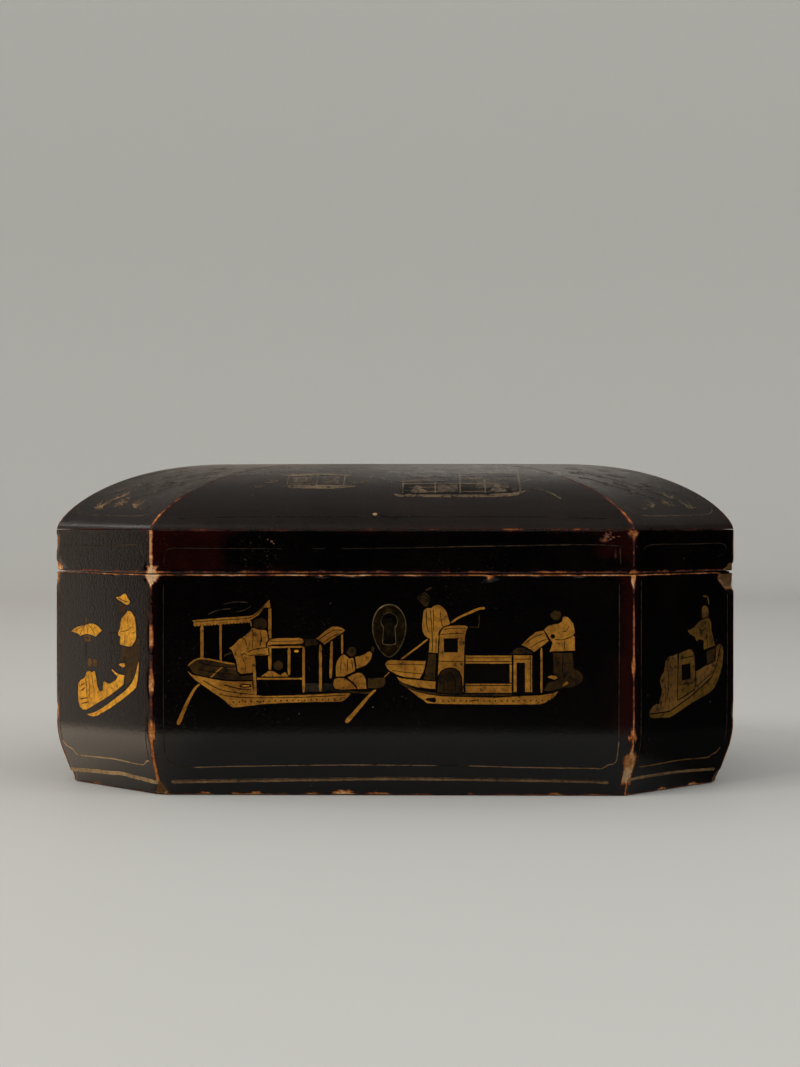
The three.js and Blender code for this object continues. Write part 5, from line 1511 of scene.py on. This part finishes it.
# The lid's rims carry one thin line each, and the front one is scuffed near its right end.
rimLines = {
    0: [
        stroke("ghost", 0.4, (-64, 9.8, -43, 9.8), (-31, 9.8, -26, 9.8)),
        stroke("ghost", 0.45, (-20, 9.8, 0, 10, 30, 10.6, 75, 11.4)),
        stroke("faint", 0.42, (22, 10.5, 50, 11, 75, 11.4, 88.6, 10.8, 89, 9.5, 89.3, 4)),
        stroke("ghost", 0.4, (-64, 9.8, -80, 9.9, -88, 9.4, -89.2, 4)),
    ],
    7: [
        stroke("faint", 0.45, (-27, 10, -24, 10.7, 0, 10.7, 12, 10.8, 24, 11.3, 25.3, 10.5, 26, 9, 27.3, 7.5)),
        stroke("ghost", 0.4, (27.6, 7.5, 27.8, 2.5)),
    ],
    1: [stroke("ghost", 0.45, (-26, 9, -22, 11.2, 5, 11.3, 24, 11.4, 27, 9))],
}
for i in hiddenSides:
    edge = halfLengths[i % 4] - 4
    ends = [(edge, 5), (edge - 0.6, 9), (edge - 3, 10.6)]
    path = [(-x, y) for x, y in ends] + [(0, 10.6)] + ends[::-1]
    rimLines[i] = [stroke("ghost", 0.45, [number for point in path for number in point])]
for i, lines in rimLines.items():
    makeDrawing(f"lid_{sideNames[i]}_line", ("rim", i), "lid", lines)
scuffs = []
for k in range(20):
    x = 84.2 + 7.0 * roughly(k * 3.7, 1.0, 90)
    y = 14.6 + 3.4 * roughly(k * 2.9, 5.0, 91)
    flakeLength = 0.35 + 1.0 * abs(roughly(k * 2.3, 4.0, 95))
    flakeHeight = 0.13 + 0.25 * abs(roughly(k * 1.9, 6.0, 96))
    scuffs.append(oval("scuff", min(x, 88.6), min(y, 16.3), flakeLength, flakeHeight))
for x, y, rx, ry in ((-47.0, 12.6, 0.5, 0.4), (-46.2, 11.8, 0.35, 0.3), (-48.5, 13.4, 0.3, 0.25)):
    scuffs.append(oval("scuff", x, y, rx, ry))
makeDrawing("lid_front_scuffs", ("rim", 0), "lid", scuffs)
print("rim lines drawn")


# Thin petals or grass blades fanning out from x, y.
def tuft(tone, x, y, size, count, turned, spread):
    shapes = []
    for k in range(count):
        share = k / max(count - 1, 1) - 0.5
        angle = math.radians(turned + spread * share)
        length = size * (1 - 0.35 * abs(share) + 0.2 * roughly(x + k, y, 4.0))
        bend = 0.18 * length * (1 if share > 0 else -1)
        c, s = math.cos(angle), math.sin(angle)
        middle = (x + 0.55 * length * c - bend * s, y + 0.55 * length * s + bend * c)
        shapes += stroke(tone, 0.75, (x, y, *middle, x + length * c, y + length * s), tip=0.25)
    return shapes


# An open flower in thin strokes: a ring of petals round an eye.
def bloom(tone, x, y, radius, petals, turned):
    shapes = tuft(tone, x, y, radius, petals, math.degrees(turned), 360 * (1 - 1 / petals))
    for k in range(petals):
        spot = onCircle((x, y), 0.85 * radius, turned + 2 * math.pi * (k + 0.5) / petals)
        shapes += oval(tone, *spot, radius * 0.16, radius * 0.13)
    return shapes + oval(tone, x, y, radius * 0.2, radius * 0.2)


# A thin stem with small leaves on both sides.
def stem(tone, points, leafSize):
    shapes = [("stroke", tone, points, (0.4, 0.25, True))]
    for (x0, y0), (x1, y1) in zip(points, points[1:]):
        shapes += tuft(tone, x1, y1, leafSize, 2, math.degrees(math.atan2(y1 - y0, x1 - x0)), 95)
    return shapes


# The dome's front: two rubbed boats and a thin line over the crease.
domeFront = [
    stroke("ghost", 0.45, (-84, 5, -60, 6, 0, 6.1, 60, 6, 84, 5)),
    fill("faded", 0, 23, 2, 20.6, 20, 20, 35, 20, 45, 20.5, 50, 22, 54, 27, 48, 24.5, 35, 22.6, 10, 22.6, 3, 24),
    stroke("faded", 0.5, (2, 26.5, 20, 25.6, 40, 26, 52, 28.5)),
    fill("ghost", 3, 23, 48, 24, 47, 34, 4, 34),
    stroke("faded", 0.8, (3, 34.5, 25, 34.8, 46, 34.5)),
    fill("mist", 33, 29, 47, 29, 46, 38, 34, 38),
    stroke("faded", 0.5, (6, 30, 16, 30.4, 26, 30)),
    fill("mist", 18, 25.2, 26, 25.2, 26, 33.5, 18, 33.5),
    stroke("faded", 0.6, (4, 24, 4, 38), (17, 24, 17, 41), (27, 24, 27, 50), (37, 24, 37, 41), (51, 25, 51, 50)),
    stroke("faded", 0.7, (26, 50, 38, 51, 52, 50)),
    stroke("mist", 0.5, (28, 46, 38, 46.6, 50, 46)),
    fill("mist", 1, 37.5, 8, 40.5, 16, 41.5, 24, 40, 22, 38, 4, 36.6),
    tuft("faded", 12, 44, 7, 5, 90, 130),
    tuft("faded", 33, 41, 6, 5, 90, 150),
    tuft("faded", 43, 40, 5, 4, 80, 120),
    tuft("mist", 21, 44, 6, 4, 100, 110),
    oval("faded", 10, 30.5, 1.6, 1.8),
    fill("faded", 7.5, 24.8, 8, 28.2, 9.6, 29, 12, 28.4, 13.4, 24.8, rounded=True),
    oval("faded", 42, 32, 1.5, 1.7),
    fill("faded", 39.6, 25.6, 40, 29.4, 42, 30.4, 44.6, 29.4, 45.4, 25.8, rounded=True),
    stroke("faded", 0.6, (54, 30, 60, 27, 64, 23, 67, 18.5), tip=0.9),
    fill("faded", -45, 31, -40, 29, -24, 28.5, -14, 31, -17, 33, -40, 33.5),
    stroke("faded", 0.6, (-42, 35, -30, 35.4, -18, 35)),
    stroke("faded", 0.5, (-43, 33, -43, 47), (-31, 33, -31, 50), (-20, 33, -20, 49)),
    fill("faded", -46, 47, -40, 50, -33, 51.4, -24, 51, -16, 48, -19, 46.6, -30, 47.6, -42, 45.8),
    fill("mist", -41, 36, -33, 36, -33, 45, -41, 45),
    stroke("faded", 0.4, (-39.6, 37, -39.6, 44), (-35.6, 37, -35.6, 44)),
    fill("mist", -29, 36, -22, 36, -22, 45, -29, 45),
    stroke("faded", 0.4, (-27.4, 41, -23.6, 41)),
    tuft("faded", -15, 35, 6, 5, 60, 120),
    stroke("faded", 0.4, (-14, 34, -10, 40, -9, 47)),
    tuft("faded", -49, 36, 5, 5, 120, 110),
    tuft("mist", -54, 30, 4, 4, 100, 110),
    oval("pale", -6.7, 7.6, 0.9, 0.75),
    oval("tan", -32.5, 36.5, 0.4, 0.35),
    stroke("dark", 1.1, (-4.9, 7.2, -2, 6.4, 2.6, 4.9)),
    oval("mist", -32, 29, 0.5, 0.4),
    oval("mist", -56, 22, 0.5, 0.4),
]


# Thin flower sprays over a canted corner of the dome, inside a line that follows its edges.
# s is 1 on the left corner and -1 on the right one, which mirrors it.
def domeCornerDrawing(s, near, far):
    return [
        stroke("mist", 0.45, (-27 * s, 12, -24 * s, 8.6, -18 * s, 7, 0, 6.4, 22 * s, 6.4, 26 * s, 9)),
        stroke("mist", 0.4, (-27 * s, 12, -25 * s, 26, -21 * s, 44, -16 * s, 60)),
        stroke("mist", 0.4, (26 * s, 9, 25 * s, 26, 23 * s, 44, 20 * s, 60)),
        tuft(near, -13 * s, 12.4, 5.2, 6, 90 + 20 * s, 150),
        tuft(near, -12.5 * s, 12, 3.2, 4, 270, 110),
        tuft(near, -8 * s, 18.5, 6.5, 6, 90 + 40 * s, 130),
        bloom(near, -2 * s, 15, 3.6, 7, 0.3),
        tuft(near, 8.5 * s, 12.5, 5, 5, 90 - 30 * s, 140),
        tuft(far, 16 * s, 10, 4, 4, 90 - 20 * s, 120),
        stem(far, [(-6 * s, 20), (-2 * s, 26), (1 * s, 33), (5 * s, 40), (8 * s, 48)], 4.0),
        stem(far, [(2 * s, 18), (8 * s, 23), (13 * s, 30), (16 * s, 38)], 3.8),
        bloom(far, -9 * s, 30, 4.0, 6, 0.7),
        bloom(far, 6 * s, 31, 3.4, 6, 0.1),
        tuft(far, -14 * s, 24, 4.5, 4, 90 + 50 * s, 100),
        tuft(far, -4 * s, 41, 5, 5, 90 + 30 * s, 120),
        bloom(far, 12 * s, 46, 3.4, 6, 0.4),
        tuft(far, 3 * s, 54, 5.5, 5, 90, 110),
        tuft(far, -9 * s, 50, 4.5, 4, 120, 100),
    ]


makeDrawing("lid_front_drawing", ("dome", 0), "lid", domeFront)
makeDrawing("lid_front_left_drawing", ("dome", 7), "lid", domeCornerDrawing(1, "sprig", "mist"))
makeDrawing("lid_front_right_drawing", ("dome", 1), "lid", domeCornerDrawing(-1, "faded", "mist"))
for i in hiddenSides:
    edge = halfLengths[i % 4] * 0.88
    line = stroke("ghost", 0.45, (-edge, 5.2, -edge * 0.7, 6.1, 0, 6.2, edge * 0.7, 6.1, edge, 5.2))
    makeDrawing(f"lid_{sideNames[i]}_upper_line", ("dome", i), "lid", [line])
print("dome drawn")

# The keyhole plate's rounded rim and keyhole edge, which wear has polished.
# Each ring has its distance out from the outline, its place in Y and how polished it is.
plateFaceY = keyPlate["face"]
plateRings = (
    (keyPlateOutline, (
        (0.0, -104.25, 0.1), (0.0, -105.02, 0.7), (-0.12, -105.2, 1.0),
        (-0.38, -105.34, 0.8), (-0.8, -105.4, 0.3), (-1.15, plateFaceY, 0.0),
    )),
    (keyholeOutline, (
        (0.75, plateFaceY, 0.0), (0.38, -105.4, 0.4), (0.14, -105.32, 1.0),
        (0.0, -105.12, 0.7), (0.0, -104.25, 0.1),
    )),
)


def keyPlatePiece():
    vertices = []
    faces = []
    polish = []
    for outline, rings in plateRings:
        for number, (grown, y, shine) in enumerate(rings):
            ring = [(x, y, z) for x, z in outline(grown)]
            if number:
                faces += bandFaces(len(vertices) - len(ring), len(vertices), len(ring))
            vertices += ring
            polish += [shine] * len(ring)
    rim, hole = keyPlateOutline(-1.15), keyholeOutline(0.75)
    edges = [(k, (k + 1) % len(rim)) for k in range(len(rim))]
    edges += [(len(rim) + k, len(rim) + (k + 1) % len(hole)) for k in range(len(hole))]
    places, _, triangles = geometry.delaunay_2d_cdt([Vector(p) for p in rim + hole], edges, [], 0, 1e-6)[:3]
    for triangle in triangles:
        x, z = (sum(places[k][axis] for k in triangle) / 3 for axis in (0, 1))
        if insideOutline(x, z, rim) and not insideOutline(x, z, hole):
            faces.append(tuple(len(vertices) + k for k in triangle))
    vertices += [(p.x, plateFaceY, p.y) for p in places]
    polish += [0.0] * len(places)

    def join(bm):
        bmesh.ops.remove_doubles(bm, verts=bm.verts, dist=0.000005)
        bmesh.ops.bridge_loops(bm, edges=[e for e in bm.edges if e.is_boundary])
        faceOutwards(bm)

    piece = newObject("keyhole_plate_dressed", vertices, faces, [plateBrass])
    writeValues(piece, "polish", polish)
    smoothByAngle(reshape(piece, join), 50)
    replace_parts(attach(piece, "chest_body"), "keyhole_plate")


keyPlatePiece()

# The CAD metal keeps its shape and gets old brass and steel.
nodeFinishes = {"bottom_board": innerLacquer, "key_pin": darkSteel, "lock_case": darkSteel, "lock_plate": darkBrass}
for name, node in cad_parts.items():
    isSteel = name.startswith(("bolt_spring", "bolt_rest")) or name.endswith("_pin")
    if not node.hide_render:
        for slot in node.material_slots:
            slot.material = nodeFinishes.get(name, steel if isSteel else brass)

# A round pale floor that curves up into a low wall. Reflections see a painted reflection pattern on it instead: a
# bright ring close round the chest, much brighter on its left, a warm bright patch to the left and a bright band high
# on the wall, dark elsewhere: each pair is a place along a line and a brightness.
floorLook = {
    "color": (0.62, 0.612, 0.59),
    "near": ((0.25, 0.30), (0.29, 0.0)),
    "nearSideways": ((0.35, (4.2, 3.5, 2.8)), (0.42, 1), (0.60, 1), (0.635, 0.1)),
    "left": ((0.30, (1.0, 0.82, 0.70)), (0.38, 0)),
    "leftBehind": ((0.30, 0), (0.355, 0.22), (0.45, 0.95)),
    "leftHeight": ((0.35, 1), (0.95, 0.22)),
    "high": ((0.34, 0.0), (0.72, (0.88, 0.82, 0.76))),
    "highSideways": (
        (0.12, 0.08), (0.35, 0.2), (0.472, 0.36), (0.493, 1), (0.56, 1), (0.64, 0.36), (0.72, 0.08),
    ),
    "drop": 0.0003,
    "flat": (0.0, 1.2, 1.9),
    "curve": 0.6,
    "wall": (1.2, 1.7),
    "sides": 96,
}


def floorMaterial():
    look = floorLook
    material, tree = startMaterial("floor_pale")
    axes = add(tree, "ShaderNodeSeparateXYZ", {"Vector": mapped(tree)}).outputs
    flat = add(tree, "ShaderNodeCombineXYZ", {"X": axes["X"], "Y": axes["Y"]}).outputs["Vector"]
    radius = add(tree, "ShaderNodeVectorMath", {0: flat}, operation="LENGTH").outputs["Value"]
    sideways = mathNode(tree, "ADD", axes["X"], 0.5)
    slanted = mathNode(tree, "MULTIPLY_ADD", axes["X"], 0.165, mathNode(tree, "ADD", axes["Y"], 0.5))
    stretched = mathNode(tree, "MULTIPLY_ADD", axes["X"], 0.2, 0.5)
    parts = (
        ((radius, "near"), (sideways, "nearSideways")),
        ((sideways, "left"), (slanted, "leftBehind"), (axes["Z"], "leftHeight")),
        ((axes["Z"], "high"), (stretched, "highSideways")),
    )
    mirrored = None
    for part in parts:
        color = None
        for value, stops in part:
            stage = ramp(tree, value, *look[stops])
            color = multiplied(tree, color, stage) if color else stage
        mirrored = mixColor(tree, 1.0, mirrored, color, "ADD") if mirrored else color
    # Glossy rays see the painted reflection pattern, all other rays the plain pale floor.
    glossy = add(tree, "ShaderNodeLightPath").outputs["Is Glossy Ray"]
    looks = {
        "Base Color": mixColor(tree, glossy, look["color"], mirrored),
        "Roughness": 0.6,
        "Specular IOR Level": 0.2,
    }
    finishMaterial(tree, looks, ())
    return material


def makeFloor():
    look = floorLook
    curve, sides = look["curve"], look["sides"]
    sweep = [(spread, -look["drop"]) for spread in look["flat"]]
    for angle in (math.radians(a) for a in range(9, 91, 9)):
        sweep.append((look["flat"][-1] + curve * math.sin(angle), curve - curve * math.cos(angle) - look["drop"]))
    sweep += [(look["flat"][-1] + curve, height) for height in look["wall"]]
    vertices = []
    for spread, height in sweep:
        vertices += [(*onCircle((0, 0), spread, 2 * math.pi * k / sides), height) for k in range(sides)]
    faces = []
    for r in range(len(sweep) - 1):
        for a, following, c, d in bandFaces(r * sides, (r + 1) * sides, sides):
            faces.append((a, d, c, following))
    piece = newObject("floor", vertices, faces, [floorMaterial()], scale=1)
    shadeSmooth(piece)
    return piece


floor = makeFloor()

# Soft lamps: place, target, size, power and colour.
lamps = {
    "key_lamp": ((-1.3, -1.1, 1.5), (0, 0, 0.07), 1.0, 16, (1.0, 0.97, 0.92)),
    "fill_lamp": ((1.6, -1.0, 1.1), (0, 0, 0.07), 1.2, 7, (0.95, 0.98, 1.0)),
    "left_lamp": ((-1.75, 0.45, 1.1), (-0.1, 0, 0.09), 0.3, 1.6, (1.0, 0.97, 0.92)),
}
for name, (spot, target, size, power, color) in lamps.items():
    light = bpy.data.lights.new(name, "AREA")
    light.shape = "RECTANGLE"
    light.size = size
    light.size_y = size
    light.energy = power
    light.color = color
    holder = bpy.data.objects.new(name, light)
    scene.collection.objects.link(holder)
    holder.location = spot
    holder.rotation_euler = (Vector(target) - Vector(spot)).to_track_quat("-Z", "Y").to_euler()

# An even sky, darker where the lacquer mirrors it.
sky = {"light": (0.72, 0.72, 0.70), "seen": (0.62, 0.615, 0.60), "mirrored": (0.17, 0.155, 0.14)}
world = bpy.data.worlds.new("sky")
scene.world = world
world.use_nodes = True
skyTree = world.node_tree
rays = add(skyTree, "ShaderNodeLightPath").outputs
seen = mixColor(skyTree, rays["Is Camera Ray"], sky["light"], sky["seen"])
seen = mixColor(skyTree, rays["Is Glossy Ray"], seen, sky["mirrored"])
feed(skyTree, skyTree.nodes["Background"].inputs["Color"], seen)
print("stage made")
